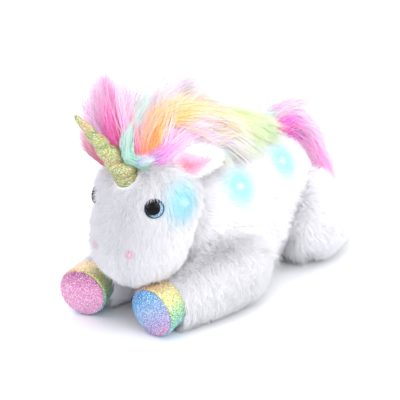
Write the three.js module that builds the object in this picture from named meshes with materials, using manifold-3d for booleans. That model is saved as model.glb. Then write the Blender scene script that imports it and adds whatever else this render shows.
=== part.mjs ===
// A lying plush unicorn with six small lamps under its fur and a battery module in a belly pocket.
// Millimetres, +Z up. The toy faces -Y, its left side is +X, and it lies on the plane z = 0.
import * as THREE from "three";
import { mergeVertices } from "three/addons/utils/BufferGeometryUtils.js";
import Module from "manifold-3d";

const wasm = await Module();
wasm.setup();

// Gaps, and how far a cutting solid reaches past what it cuts
const seamGap = 0.35;
const partGap = 0.3;
const overrun = 4;
// How much of each stuffed form is cut flat where the toy lies on it
const restFlat = 0.5;

// Torso: one stuffed form along Y with a flat belly
const torsoLength = 280;
const torsoWidth = 126;
const torsoHeight = 164;
const torsoFrontY = -120;
const torsoRoundShares = [0.26, 0.32];
// How square each form's upper or front half and its other half are: 2 is an ellipse
const torsoFullness = [2.1, 2.35];
const headFullness = [2.3, 2.2];
const legFullness = [2.1, 2.4];
const roundFullness = [2, 2];
// Share along the torso, then half width, rise above and drop below the middle as shares
const torsoRingShares = [
  [0, 0.42, 0.42, 0.42],
  [0.26, 0.48, 0.48, 0.5],
  [0.48, 0.5, 0.5, 0.5],
  [0.7, 0.5, 0.49, 0.5],
  [0.87, 0.47, 0.44, 0.49],
  [1, 0.4, 0.28, 0.44],
];

// Head: one stuffed form from the muzzle up to the crown
const headLength = 146;
const headWidth = 110;
const headDepth = 112;
const muzzlePlace = [0, -163, 46];
const headLean = 17;
const headBowShare = 0.02;
const headRoundShares = [0.3, 0.36];
// Share from muzzle to crown, then half width, front and back as shares of width and depth
const headRingShares = [
  [0, 0.42, 0.4, 0.36],
  [0.2, 0.44, 0.42, 0.4],
  [0.45, 0.47, 0.44, 0.46],
  [0.7, 0.48, 0.45, 0.5],
  [1, 0.44, 0.43, 0.44],
];

// Forelegs: thick at the shoulder, narrow at the ankle, lying forward beside the head
const forelegThickness = 78;
const forelegLength = 146;
const forelegX = 55;
const forelegRearY = -8;
const forelegTurns = { left: 8, right: -3 };
const forelegReaches = { left: 0, right: 6 };
const forelegRoundShare = 0.4;
// Share from shoulder to ankle, then half width, top and bottom as shares of the thickness
const forelegRingShares = [
  [0, 0.48, 0.5, 0.5],
  [0.35, 0.5, 0.5, 0.51],
  [0.7, 0.43, 0.42, 0.44],
  [1, 0.34, 0.34, 0.36],
];

// Hind legs: a broad thigh at the hip and a short shank that points back
const hindLegThickness = 90;
const hindLegLength = 122;
const hindLegX = 57;
// How far the hips lie ahead of the torso's rear end
const hipSetback = 108;
const hindLegTurn = 5;
const hindLegRoundShare = 0.44;
const hindLegRingShares = [
  [0, 0.48, 0.56, 0.52],
  [0.42, 0.5, 0.6, 0.54],
  [0.75, 0.44, 0.47, 0.48],
  [1, 0.32, 0.33, 0.34],
];

// Hooves: a stuffed cuff of glitter cloth with a round sole
const hoofLength = 26;
const hoofSeat = 4;
const hoofDiameter = 55;
const hoofNeckShare = 0.94;
const hoofBulgeShare = 1.03;
const frontHoofTurns = { left: 4, right: 14 };
const frontHoofPitch = 7;
const rearHoofTurns = { left: 32, right: 32 };
const rearHoofPitch = -24;
const rearHoofLift = 10;
const soleThickness = 4;
const soleShare = 0.95;
const soleEdgeShare = 0.6;

// Ears: a stuffed leaf with a pink lining, laid back along the head
const earLength = 60;
const earWidth = 38;
const earThickness = 15;
const earRootShare = 0.93;
const earRootAngle = 20;
const earSink = 8;
const earRiseShare = 0.06;
const earOutShare = 0.58;
const earFacing = [0.6, -0.6, 0.36];
// Share from root to tip, then half width, front and back as shares of width and thickness
const earRingShares = [
  [0, 0.34, 0.5, 0.5],
  [0.4, 0.5, 0.5, 0.5],
  [0.8, 0.34, 0.36, 0.36],
  [1, 0.16, 0.2, 0.2],
];
const earRoundShares = [0.1, 0.14];
const liningThickness = 0.9;
// How far the lining runs along the ear, and how far round it in turns from its facing side
const liningRunShares = [0.1, 0.64];
const liningWrapShare = 0.15;

// Horn: a stuffed cone wound with a thread that draws in a spiral groove
const hornLength = 105;
const hornBaseDiameter = 30;
const hornTipDiameter = 5;
const hornRootShare = 0.8;
const hornSink = 10;
const hornLean = 43;
const hornTurns = 4.5;
const hornGrooveShare = 0.28;
const hornRoundShares = [0, 0.05];

// Mane: a crest of long pile from the forelock over the neck to the withers, with locks that leave it
const crestWidth = 66;
const crestHeight = 50;
const crestFrontY = -156;
// How far the crest ends ahead of the torso's rear end
const crestSetback = 78;
const crestSink = 6;
// Share along the crest, then height of its spine as a share of the torso's height
const crestStationShares = [[0, 1.13], [0.25, 1.19], [0.55, 1.06], [0.8, 1.01], [1, 0.97]];
// Share along the crest, then half width, rise and drop as shares of its width and height
const crestRingShares = [
  [0, 0.36, 0.7, 0.4],
  [0.25, 0.48, 0.8, 0.6],
  [0.45, 0.5, 0.82, 0.6],
  [0.65, 0.5, 0.72, 0.5],
  [0.82, 0.44, 0.46, 0.4],
  [1, 0.28, 0.24, 0.24],
];
const crestRoundShares = [0.12, 0.2];
const lockThickness = 26;
const lockLength = 62;
const lockRingShares = [
  [0, 0.42, 0.42, 0.42],
  [0.35, 0.5, 0.5, 0.5],
  [0.7, 0.34, 0.34, 0.34],
  [1, 0.12, 0.12, 0.12],
];
const lockRoundShares = [0.08, 0.06];
// Share along the crest, side, reach across, back and up, thickness and lift of each lock's middle
const maneLockShares = [
  [0.06, 0.5, 0.06, 0.1, 0.9, 1, 0.05],
  [0.08, 1, 0.28, 0.95, 0.2, 0.9, 0.06],
  [0.08, -1, -0.28, 0.95, 0.2, 0.9, 0.06],
  [0.2, 0, 0, 0.7, 0.62, 1, 0.12],
  [0.34, 0.4, 0.25, 0.95, 0.3, 1, 0.15],
  [0.5, 1, 0.42, 0.6, -0.36, 0.9, 0.08],
  [0.5, -1, -0.42, 0.6, -0.36, 0.9, 0.08],
  [0.62, 0.2, 0, 1.1, -0.2, 0.9, 0.1],
];
const forelockLength = 104;
const forelockRootShare = 0.9;
// Reach across, forward and up, thickness, then the root's place across and along
const forelockShares = [
  [-0.12, -0.12, 0.96, 1.15, 0, 0],
  [-0.29, -0.24, 0.86, 1.1, -0.2, 0],
  [-0.34, -0.32, 0.58, 1, -0.3, 0],
  [-0.32, -0.36, 0.32, 0.9, -0.3, 0],
];
const tailThickness = 38;
const tailLift = 14;
const tailReach = 77;
const tailDrop = 88;
const tailSwing = 42;
const tailRootShare = 0.79;
const tailSink = 8;
// Across, back, lifted and dropped shares of each point of the tail's spine
const tailSpineShares = [
  [0, 0, 0, 0],
  [0.12, 0.26, 1, 0],
  [0.4, 0.56, 0.6, 0.12],
  [0.76, 0.86, 0, 0.58],
  [1, 1, 0, 1],
];
const tailRingShares = [
  [0, 0.3, 0.3, 0.3],
  [0.25, 0.42, 0.42, 0.42],
  [0.55, 0.5, 0.5, 0.5],
  [0.82, 0.38, 0.38, 0.38],
  [1, 0.1, 0.1, 0.1],
];
const tailRoundShares = [0.06, 0.06];

// Eyes: a dome on a shank, sunk into the pile, with a glitter disc behind it and a washer in the head
const eyeDiameter = 20;
const eyeDomeHeight = 6.5;
const eyeRimThickness = 1.2;
const eyeSink = 5;
const glitterThickness = 0.6;
const shankDiameter = 4.2;
const shankLength = 13;
const washerDiameter = 14;
const washerThickness = 1.4;
const headSkin = 2.4;
const eyeShare = 0.595;
const eyeAngle = 44;

// Nostrils: two small sewn patches on the muzzle
const nostrilWidth = 7;
const nostrilHeight = 9;
const nostrilThickness = 0.8;
const nostrilShare = 0.27;
const nostrilAngle = 66;

// Lamps: six small diodes behind the cloth, three on each side
const lampDiameter = 5;
const lampLength = 8.6;
const lampRimDiameter = 5.8;
const lampRimLength = 1;
const lampDepth = 3;
const lampClearance = 0.4;
const cheekLampShare = 0.66;
const cheekLampAngle = 6;
const flankLampShares = { shoulder: 0.293, flank: 0.613 };
const flankLampAngles = { shoulder: 36, flank: 41 };

// Belly pocket: a cloth bag with a flap held by hook and loop tape
const pocketY = 20;
const linerThickness = 0.8;
const flapRise = 2.4;
const flapThickness = 1.6;
const flapMargin = 7;
// How far the flap swings open, and how much further back the edge behind its hinge slopes
const flapSwing = 130;
const hingeSlack = 6;
const tapeThickness = 1.1;
const tapeDepth = 9;
const tapeMargin = 3;
const recessCornerRadius = 5;

// Battery module: three cells beside a small board with a push switch
const cellDiameter = 10.5;
const cellLength = 43.3;
const cellNubDiameter = 5.5;
const cellNubLength = 1.2;
const cellSpacing = 0.8;
const moduleWall = 1.8;
const moduleCornerRadius = 3;
const boardBayLength = 17;
const dividerThickness = 6;
const coverThickness = 1.6;
const coverLip = 2.2;
const screwHeadDiameter = 4.6;
const screwHeadThickness = 1.1;
const screwShankDiameter = 2.2;
const screwLength = 6;
const springDiameter = 8;
const springTipDiameter = 4;
const springLength = 5;
const springWire = 0.7;
const springTurns = 3;
const plateThickness = 0.5;
const plateSize = 8;
const boardThickness = 1.4;
const boardRoom = 2;
const switchSize = 9;
const switchHeight = 6;
const buttonDiameter = 10.5;
const buttonProud = 2.2;
const buttonTravel = 1.5;
const buttonFlange = 1.2;
const buttonFlangeRim = 1.2;
const buttonStemDiameter = 3.6;
const buttonStemLength = 4;
const postDiameter = 3;

// Wiring: one pair of leads to each lamp, tied together where they leave the module
const leadDiameter = 1.8;
const loomDiameter = 5;
const loomHeight = 70;

function merged(geometry) {
  const bare = geometry.index ? geometry.toNonIndexed() : geometry.clone();
  bare.deleteAttribute("normal");
  bare.deleteAttribute("uv");
  return mergeVertices(bare);
}

function solidOf(geometry) {
  const closed = merged(geometry);
  return new wasm.Manifold(new wasm.Mesh({
    numProp: 3,
    vertProperties: new Float32Array(closed.attributes.position.array),
    triVerts: new Uint32Array(closed.index.array),
  }));
}

function geometryOf(solid) {
  const mesh = solid.getMesh();
  const geometry = new THREE.BufferGeometry();
  geometry.setAttribute("position", new THREE.BufferAttribute(mesh.vertProperties, 3));
  geometry.setIndex(new THREE.BufferAttribute(mesh.triVerts, 1));
  geometry.computeVertexNormals();
  return geometry;
}

function joined(solids) {
  return solids.reduce((sum, part) => sum.add(part));
}

// A smooth curve through rows of [share, value, value, ...], read at one share
function readRows(rows, share) {
  const last = rows.length - 1;
  let k = rows.findIndex((row) => row[0] >= share) - 1;
  k = k === -2 ? last - 1 : Math.max(k, 0);
  const [a, b] = [rows[k], rows[k + 1]];
  const [before, after] = [rows[Math.max(k - 1, 0)], rows[Math.min(k + 2, last)]];
  const step = b[0] - a[0];
  const t = (share - a[0]) / step;
  return a.slice(1).map((value, i) => {
    const slopeA = (b[i + 1] - before[i + 1]) / (b[0] - before[0]) * step;
    const slopeB = (after[i + 1] - value) / (after[0] - a[0]) * step;
    return (2 * t ** 3 - 3 * t ** 2 + 1) * value + (t ** 3 - 2 * t ** 2 + t) * slopeA
      + (3 * t ** 2 - 2 * t ** 3) * b[i + 1] + (t ** 3 - t ** 2) * slopeB;
  });
}

// A stuffed form: rings carried along a spine. Each ring is a superellipse whose width lies across
// the spine and whose front lies towards the facing direction. Ends close flat or in a round cap.
class StuffedForm {
  constructor({ spine, facing, width, depth, ringShares, roundShares = [0, 0], fullness = [2.2, 2.2],
    sides = 20, rows = 8, capRows = 4, relief = () => 1 }) {
    const points = spine.map((point) => new THREE.Vector3(...point));
    this.curve = new THREE.CatmullRomCurve3(points, false, "centripetal");
    this.facing = new THREE.Vector3(...facing).normalize();
    Object.assign(this, { width, depth, ringShares, roundShares, fullness, sides, rows, capRows, relief });
  }

  frame(share) {
    const along = this.curve.getTangentAt(share);
    const front = this.facing.clone().addScaledVector(along, -this.facing.dot(along)).normalize();
    const across = new THREE.Vector3().crossVectors(along, front);
    return { centre: this.curve.getPointAt(share), along, front, across };
  }

  // How far a cap has closed at this share: its turn from the pole to the full ring
  capTurn(share) {
    const [start, end] = this.roundShares;
    if (share < start) return { turn: Math.acos(1 - share / start), sign: -1 };
    if (share > 1 - end) return { turn: Math.acos(1 - (1 - share) / end), sign: 1 };
    return { turn: Math.PI / 2, sign: share < 0.5 ? -1 : 1 };
  }

  at(share, angle, grow = 0) {
    const { centre, along, front, across } = this.frame(share);
    const [wide, ahead, behind] = readRows(this.ringShares, share);
    const { turn, sign } = this.capTurn(share);
    const [c, s] = [Math.cos(angle), Math.sin(angle)];
    const power = 2 / (s > 0 ? this.fullness[0] : this.fullness[1]);
    const relief = this.relief(share, angle);
    const reach = wide * this.width * relief + grow;
    const height = (s > 0 ? ahead : behind) * this.depth * relief + grow;
    const flat = share === 0 && this.roundShares[0] === 0 || share === 1 && this.roundShares[1] === 0;
    return centre.addScaledVector(along, sign * grow * (flat ? 1 : Math.cos(turn)))
      .addScaledVector(across, reach * Math.sin(turn) * Math.sign(c) * Math.abs(c) ** power)
      .addScaledVector(front, height * Math.sin(turn) * Math.sign(s) * Math.abs(s) ** power);
  }

  // The outward direction at a point of the surface, from its slopes along and around
  normal(share, angle) {
    const small = 1e-3;
    const alongSlope = this.at(share + small, angle).sub(this.at(share - small, angle));
    const aroundSlope = this.at(share, angle + small).sub(this.at(share, angle - small));
    return alongSlope.cross(aroundSlope).normalize();
  }

  ringPlaces() {
    const [start, end] = this.roundShares;
    const capSteps = Array.from({ length: this.capRows - 1 }, (_, i) => (i + 1) / this.capRows);
    const caps = capSteps.map((step) => 1 - Math.cos(step * Math.PI / 2));
    const steps = Array.from({ length: this.rows + 1 }, (_, i) => i / this.rows);
    const middle = steps.map((step) => start + (1 - end - start) * step);
    const before = start > 0 ? caps.map((cap) => cap * start) : [];
    const after = end > 0 ? caps.map((cap) => 1 - cap * end).reverse() : [];
    return [...before, ...middle, ...after];
  }

  geometry(grow = 0) {
    const places = this.ringPlaces();
    const vertices = [];
    const faces = [];
    const { sides } = this;
    for (const share of places) {
      for (let i = 0; i < sides; i++) {
        vertices.push(...this.at(share, 2 * Math.PI * i / sides, grow).toArray());
      }
    }
    for (let j = 0; j < places.length - 1; j++) {
      for (let i = 0; i < sides; i++) {
        const [a, b] = [j * sides + i, j * sides + (i + 1) % sides];
        faces.push(a, a + sides, b, b, a + sides, b + sides);
      }
    }
    for (const [row, share, turned] of [[0, 0, false], [places.length - 1, 1, true]]) {
      const { centre, along } = this.frame(share);
      centre.addScaledVector(along, share === 0 ? -grow : grow);
      vertices.push(...centre.toArray());
      for (let i = 0; i < sides; i++) {
        const [a, b] = [row * sides + i, row * sides + (i + 1) % sides];
        faces.push(vertices.length / 3 - 1, ...(turned ? [b, a] : [a, b]));
      }
    }
    const geometry = new THREE.BufferGeometry();
    geometry.setAttribute("position", new THREE.Float32BufferAttribute(vertices, 3));
    geometry.setIndex(faces);
    return geometry.toNonIndexed();
  }

  solid(grow = 0) {
    return solidOf(this.geometry(grow));
  }

  // A patch of cloth that follows the facing side, between two offsets from the surface
  skin(runShares, wrapShare, gap, thickness, steps = [8, 6]) {
    const [runs, wraps] = steps;
    const low = [];
    const high = [];
    for (let j = 0; j <= runs; j++) {
      const share = THREE.MathUtils.lerp(...runShares, j / runs);
      // The patch narrows to a round end at each end of its run
      const wrap = wrapShare * Math.sin(Math.PI * (j + 1) / (runs + 2)) ** 0.5;
      for (let i = 0; i <= wraps; i++) {
        const angle = Math.PI / 2 - 2 * Math.PI * wrap * (1 - 2 * i / wraps);
        low.push(this.at(share, angle, gap));
        high.push(this.at(share, angle, gap + thickness));
      }
    }
    const count = low.length;
    const across = wraps + 1;
    const faces = [];
    const quad = (a, b, c, d) => faces.push(a, b, c, a, c, d);
    for (let j = 0; j < runs; j++) {
      for (let i = 0; i < wraps; i++) {
        const k = j * across + i;
        quad(count + k, count + k + across, count + k + across + 1, count + k + 1);
        quad(k, k + 1, k + across + 1, k + across);
      }
      const [a, b] = [j * across, (j + 1) * across];
      quad(a, b, count + b, count + a);
      quad(a + wraps, count + a + wraps, count + b + wraps, b + wraps);
    }
    for (let i = 0; i < wraps; i++) {
      const last = runs * across + i;
      quad(i, count + i, count + i + 1, i + 1);
      quad(last, last + 1, count + last + 1, count + last);
    }
    const geometry = new THREE.BufferGeometry();
    geometry.setFromPoints([...low, ...high]);
    geometry.setIndex(faces);
    return geometry;
  }
}

// A solid of revolution about +Z from [radius, height] points that start and end on the axis
function revolved(points, segments = 20) {
  const outline = points.map(([radius, height]) => new THREE.Vector2(radius, height));
  return new THREE.LatheGeometry(outline, segments).rotateX(Math.PI / 2);
}

// Turns a geometry's +Z onto a direction and moves its origin to a place
function placed(geometry, place, direction) {
  const turn = new THREE.Quaternion().setFromUnitVectors(new THREE.Vector3(0, 0, 1), direction);
  return geometry.applyQuaternion(turn).translate(...place.toArray());
}

// A box from its lowest and highest corners
function block(low, high) {
  const size = high.map((value, i) => value - low[i]);
  return new THREE.BoxGeometry(...size).translate(...low.map((value, i) => value + size[i] / 2));
}

// A box with upright round corners
function roundedBlock(low, high, radius, curveSegments = 3) {
  const [x0, y0, x1, y1] = [low[0], low[1], high[0], high[1]];
  const shape = new THREE.Shape();
  shape.moveTo(x0 + radius, y0);
  shape.lineTo(x1 - radius, y0).absarc(x1 - radius, y0 + radius, radius, -Math.PI / 2, 0);
  shape.lineTo(x1, y1 - radius).absarc(x1 - radius, y1 - radius, radius, 0, Math.PI / 2);
  shape.lineTo(x0 + radius, y1).absarc(x0 + radius, y1 - radius, radius, Math.PI / 2, Math.PI);
  shape.lineTo(x0, y0 + radius).absarc(x0 + radius, y0 + radius, radius, Math.PI, 1.5 * Math.PI);
  const settings = { depth: high[2] - low[2], bevelEnabled: false, curveSegments };
  return new THREE.ExtrudeGeometry(shape, settings).translate(0, 0, low[2]);
}

function tube(points, radius, sides = 8, stepsEach = 2) {
  const turns = Array.from({ length: sides }, (_, i) => 2 * Math.PI * i / sides);
  const shape = new THREE.Shape(turns.map((turn) => new THREE.Vector2(Math.cos(turn), Math.sin(turn))
    .multiplyScalar(radius)));
  const path = new THREE.CatmullRomCurve3(points, false, "centripetal");
  const steps = (points.length - 1) * stepsEach;
  return new THREE.ExtrudeGeometry(shape, { steps, extrudePath: path, bevelEnabled: false });
}

const toy = new THREE.Group();

function add(name, shape, look) {
  const geometry = shape.isBufferGeometry ? shape : geometryOf(shape);
  const mesh = new THREE.Mesh(geometry, new THREE.MeshStandardMaterial(look));
  mesh.name = name;
  toy.add(mesh);
  return mesh;
}

const looks = {
  whitePlush: { color: "#f6f4f8", roughness: 0.95 },
  glitterCuff: { color: "#9fd6c0", roughness: 0.45, metalness: 0.3 },
  glitterSole: { color: "#e58fc4", roughness: 0.45, metalness: 0.3 },
  goldGlitter: { color: "#c9c06a", roughness: 0.4, metalness: 0.5 },
  pinkPile: { color: "#f07fd0", roughness: 0.9 },
  rainbowPile: { color: "#dfe3a4", roughness: 0.9 },
  pinkFelt: { color: "#f6a3b8", roughness: 0.9 },
  clearPlastic: { color: "#10151c", roughness: 0.05 },
  blueGlitter: { color: "#6fb6d8", roughness: 0.35, metalness: 0.4 },
  whitePlastic: { color: "#eceff1", roughness: 0.45 },
  greyPlastic: { color: "#8f979c", roughness: 0.5 },
  steel: { color: "#b8bcc0", roughness: 0.3, metalness: 1 },
  cellJacket: { color: "#3c7a4f", roughness: 0.35, metalness: 0.2 },
  boardGreen: { color: "#1f6b3f", roughness: 0.6 },
  lampClear: { color: "#8ff0ff", roughness: 0.1 },
  wireWhite: { color: "#e6e6e6", roughness: 0.5 },
  linerCloth: { color: "#e9e6ee", roughness: 0.95 },
  tapeWhite: { color: "#f2f2f2", roughness: 0.9 },
};

const sidesOfToy = { left: 1, right: -1 };
const radians = THREE.MathUtils.degToRad;

// What lies below the floor, to be cut away
const floorReach = torsoLength;
const belowFloor = solidOf(block([-floorReach, -floorReach, -floorReach], [floorReach, floorReach, 0]));

// Torso
const torso = new StuffedForm({
  spine: [[0, torsoFrontY, torsoHeight / 2 - restFlat],
    [0, torsoFrontY + torsoLength, torsoHeight / 2 - restFlat]],
  facing: [0, 0, 1],
  width: torsoWidth,
  depth: torsoHeight,
  ringShares: torsoRingShares,
  roundShares: torsoRoundShares,
  fullness: torsoFullness,
  sides: 24,
  rows: 6,
  capRows: 4,
});

// Head: the spine leans back from the muzzle and bows a little forward
const [muzzleX, muzzleY, muzzleZ] = muzzlePlace;
const headRun = headLength * Math.sin(radians(headLean));
const headClimb = headLength * Math.cos(radians(headLean));
const head = new StuffedForm({
  spine: [0, 0.5, 1].map((share) => [muzzleX,
    muzzleY + headRun * share - 4 * share * (1 - share) * headBowShare * headLength,
    muzzleZ + headClimb * share]),
  facing: [0, -1, 0],
  width: headWidth,
  depth: headDepth,
  ringShares: headRingShares,
  roundShares: headRoundShares,
  fullness: headFullness,
  sides: 22,
  rows: 4,
  capRows: 4,
});
const torsoCutter = torso.solid(seamGap);
const headCutter = head.solid(seamGap);

// A leg lies on the floor: its spine runs at the height of its own underside's drop
function legForm({ x, startY, length, turn, heading, thickness, ringShares, roundShare }) {
  const spine = ringShares.map(([share, , , drop]) => [
    x - Math.sign(x) * length * share * Math.sin(radians(turn)) * share,
    startY + heading * length * share,
    drop * thickness - restFlat,
  ]);
  return new StuffedForm({
    spine, facing: [0, 0, 1], width: thickness, depth: thickness, ringShares,
    roundShares: [roundShare, 0], fullness: legFullness, sides: 16, rows: 5, capRows: 4,
  });
}

// The hoof's frame at the ankle: where it starts and which way the sole looks
function hoofHeading(side, turn, pitch, heading) {
  const flat = Math.cos(radians(pitch));
  return new THREE.Vector3(-side * Math.sin(radians(turn)) * flat,
    heading * Math.cos(radians(turn)) * flat, -Math.sin(radians(pitch)));
}

// The space that a hoof and its sole fill, with a clearance all round
function hoofSpace(ankle, direction, clearance) {
  const radius = hoofDiameter / 2 * hoofBulgeShare + clearance;
  return solidOf(placed(revolved([
    [0, -clearance],
    [radius, -clearance],
    [radius, hoofLength + soleThickness + 2 * clearance],
    [0, hoofLength + soleThickness + 2 * clearance],
  ], 22), ankle, direction));
}

function addHoof(name, side, ankle, direction) {
  const radius = hoofDiameter / 2;
  const cuff = solidOf(placed(revolved([
    [0, 0],
    [radius * hoofNeckShare, 0],
    [radius * (hoofBulgeShare + hoofNeckShare) / 2, hoofLength / 6],
    [radius * hoofBulgeShare, hoofLength / 2],
    [radius, hoofLength],
    [0, hoofLength],
  ], 22), ankle, direction));
  add(`hoof_${name}_${side}`, cuff.subtract(belowFloor).subtract(headCutter), looks.glitterCuff);
  const soleRadius = radius * soleShare;
  const soleStart = ankle.clone().addScaledVector(direction, hoofLength + partGap);
  const sole = solidOf(placed(revolved([
    [0, 0],
    [soleRadius, 0],
    [soleRadius * soleShare, soleThickness * soleEdgeShare],
    [0, soleThickness],
  ], 22), soleStart, direction));
  add(`sole_${name}_${side}`, sole.subtract(belowFloor), looks.glitterSole);
}

// Cuts everything past the ankle off a leg, square to the hoof
function cutAtAnkle(solid, ankle, direction) {
  const reach = forelegThickness;
  const past = placed(block([-reach, -reach, -seamGap], [reach, reach, reach]), ankle, direction);
  return solid.subtract(solidOf(past));
}

// The height of the ankle that lets the lowest edge of a pitched hoof reach the floor
function ankleHeight(pitch) {
  const radius = hoofDiameter / 2 * hoofBulgeShare;
  const dip = hoofLength * Math.max(0, Math.sin(radians(pitch)));
  return radius * Math.cos(radians(pitch)) - restFlat + dip;
}

const legs = [
  {
    name: "foreleg",
    heading: -1,
    x: forelegX,
    startY: forelegRearY,
    length: forelegLength,
    reaches: forelegReaches,
    turns: forelegTurns,
    thickness: forelegThickness,
    ringShares: forelegRingShares,
    roundShare: forelegRoundShare,
    hoof: { place: "front", turns: frontHoofTurns, pitch: frontHoofPitch, lift: 0 },
  },
  {
    name: "hindleg",
    heading: 1,
    x: hindLegX,
    startY: torsoFrontY + torsoLength - hipSetback,
    length: hindLegLength,
    reaches: { left: 0, right: 0 },
    turns: { left: hindLegTurn, right: hindLegTurn },
    thickness: hindLegThickness,
    ringShares: hindLegRingShares,
    roundShare: hindLegRoundShare,
    hoof: { place: "rear", turns: rearHoofTurns, pitch: rearHoofPitch, lift: rearHoofLift },
  },
];
const cutters = {};
for (const leg of legs) {
  for (const [sideName, side] of Object.entries(sidesOfToy)) {
    const length = leg.length + leg.reaches[sideName];
    const form = legForm({ ...leg, x: side * leg.x, length, turn: leg.turns[sideName] });
    const direction = hoofHeading(side, leg.hoof.turns[sideName], leg.hoof.pitch, leg.heading);
    const end = form.curve.getPointAt(1);
    const ankle = new THREE.Vector3(end.x, end.y, ankleHeight(leg.hoof.pitch) + leg.hoof.lift)
      .addScaledVector(direction, -hoofSeat);
    const cut = cutAtAnkle(form.solid(), ankle, direction)
      .subtract(torsoCutter).subtract(headCutter).subtract(belowFloor);
    cutters[`${leg.name}_${sideName}`] = form.solid(seamGap);
    add(`${leg.name}_${sideName}`, cut, looks.whitePlush);
    addHoof(leg.hoof.place, sideName, ankle, direction);
    cutters[`hoof_${leg.hoof.place}_${sideName}`] = hoofSpace(ankle, direction, seamGap);
  }
}

// Ears: a leaf with a lining over its facing side
const earCutters = [];
for (const [sideName, side] of Object.entries(sidesOfToy)) {
  const angle = side > 0 ? radians(earRootAngle) : Math.PI - radians(earRootAngle);
  const root = head.at(earRootShare, angle).addScaledVector(head.normal(earRootShare, angle), -earSink);
  const back = Math.sqrt(1 - earOutShare ** 2 - earRiseShare ** 2);
  const tip = new THREE.Vector3(side * earOutShare, back, earRiseShare).multiplyScalar(earLength).add(root);
  const ear = new StuffedForm({
    spine: [root.toArray(), tip.toArray()], facing: earFacing.map((v, i) => (i === 0 ? side * v : v)),
    width: earWidth, depth: earThickness, ringShares: earRingShares, roundShares: earRoundShares,
    fullness: roundFullness, sides: 12, rows: 4, capRows: 2,
  });
  add(`ear_${sideName}`, ear.solid().subtract(headCutter).subtract(torsoCutter), looks.whitePlush);
  const lining = solidOf(ear.skin(liningRunShares, liningWrapShare, partGap, liningThickness));
  add(`ear_lining_${sideName}`, lining.subtract(headCutter).subtract(torsoCutter), looks.pinkFelt);
  earCutters.push(ear.solid(partGap + liningThickness + seamGap));
}

// Horn: a thread winds up it and draws in the groove
const hornRoot = head.at(hornRootShare, Math.PI / 2);
const hornAxis = new THREE.Vector3(0, -Math.sin(radians(hornLean)), Math.cos(radians(hornLean)));
const hornStart = hornRoot.clone().addScaledVector(hornAxis, -hornSink);
const horn = new StuffedForm({
  spine: [hornStart.toArray(), hornStart.clone().addScaledVector(hornAxis, hornLength).toArray()],
  facing: [1, 0, 0],
  width: hornBaseDiameter,
  depth: hornBaseDiameter,
  ringShares: [0, 0.5, 1].map((share) => {
    const half = THREE.MathUtils.lerp(hornBaseDiameter, hornTipDiameter, share) / hornBaseDiameter / 2;
    return [share, half, half, half];
  }),
  roundShares: hornRoundShares,
  fullness: roundFullness,
  sides: 12,
  rows: 22,
  capRows: 2,
  relief: (share, angle) => {
    const fromThread = angle - 2 * Math.PI * hornTurns * share;
    return 1 - hornGrooveShare * (0.5 + 0.5 * Math.cos(fromThread)) ** 4;
  },
});
add("horn", horn.solid().subtract(headCutter), looks.goldGlitter);
const hornCutter = horn.solid(seamGap);

// A tapered lock of pile from a root, through a lifted middle, to its tip
function lock(root, reach, thickness, lift = 0) {
  const tip = root.clone().add(reach);
  const middle = root.clone().lerp(tip, 0.5).add(new THREE.Vector3(0, 0, lift));
  return new StuffedForm({
    spine: [root, middle, tip].map((point) => point.toArray()),
    facing: Math.abs(reach.y) > Math.abs(reach.z) ? [0, 0, 1] : [0, -1, 0],
    width: thickness, depth: thickness, ringShares: lockRingShares,
    roundShares: lockRoundShares, fullness: roundFullness, sides: 7, rows: 4, capRows: 2,
  });
}

function shareVector(shares, size) {
  return new THREE.Vector3(...shares).multiplyScalar(size);
}

// Forelock: locks that stand up behind the horn
const forelockRoot = head.at(forelockRootShare, Math.PI / 2).add(new THREE.Vector3(0, 0, -crestSink));
const forelocks = forelockShares.map(([x, y, z, thick, rootX, rootY]) =>
  lock(forelockRoot.clone().add(shareVector([rootX, rootY, 0], lockThickness)),
    shareVector([x, y, z], forelockLength), thick * lockThickness));
const forelock = joined(forelocks.map((form) => form.solid()));
const forelockCutter = joined(forelocks.map((form) => form.solid(seamGap)));
add("forelock", forelock.subtract(headCutter).subtract(hornCutter), looks.pinkPile);

// Mane: its spine runs over the crown and the neck at the height of what lies below
const crestStations = crestStationShares.map(([share, rise]) => {
  const y = THREE.MathUtils.lerp(crestFrontY, torsoFrontY + torsoLength - crestSetback, share);
  return [0, y, rise * torsoHeight];
});
const crest = new StuffedForm({
  spine: crestStations, facing: [0, 0, 1], width: crestWidth, depth: crestHeight,
  ringShares: crestRingShares, roundShares: crestRoundShares, fullness: roundFullness,
  sides: 16, rows: 7, capRows: 3,
});
const maneLocks = maneLockShares.map(([share, side, x, y, z, thick, lift]) => {
  const root = crest.curve.getPointAt(share).add(new THREE.Vector3(side * crestWidth / 4, 0, 0));
  return lock(root, shareVector([x, y, z], lockLength), thick * lockThickness, lift * lockLength).solid();
});
const mane = joined([crest.solid(), ...maneLocks]);
const maneCutters = [headCutter, torsoCutter, forelockCutter, ...earCutters];
add("mane", maneCutters.reduce((solid, cutter) => solid.subtract(cutter), mane), looks.rainbowPile);

// Tail: rises off the rump, then falls to the left side
const tailRoot = torso.at(tailRootShare, Math.PI / 2).add(new THREE.Vector3(0, 0, -tailSink));
const tail = new StuffedForm({
  spine: tailSpineShares.map(([x, y, lift, drop]) => [
    tailRoot.x + x * tailSwing,
    tailRoot.y + y * tailReach,
    tailRoot.z + lift * tailLift - drop * tailDrop,
  ]),
  facing: [0, 0, 1], width: tailThickness, depth: tailThickness, ringShares: tailRingShares,
  roundShares: tailRoundShares, fullness: roundFullness, sides: 14, rows: 9, capRows: 2,
});
const tailCutters = ["hindleg_left", "hindleg_right", "hoof_rear_left", "hoof_rear_right"];
const cutTail = tailCutters.reduce((solid, name) => solid.subtract(cutters[name]),
  tail.solid().subtract(torsoCutter));
add("tail", cutTail, looks.pinkPile);

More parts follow.
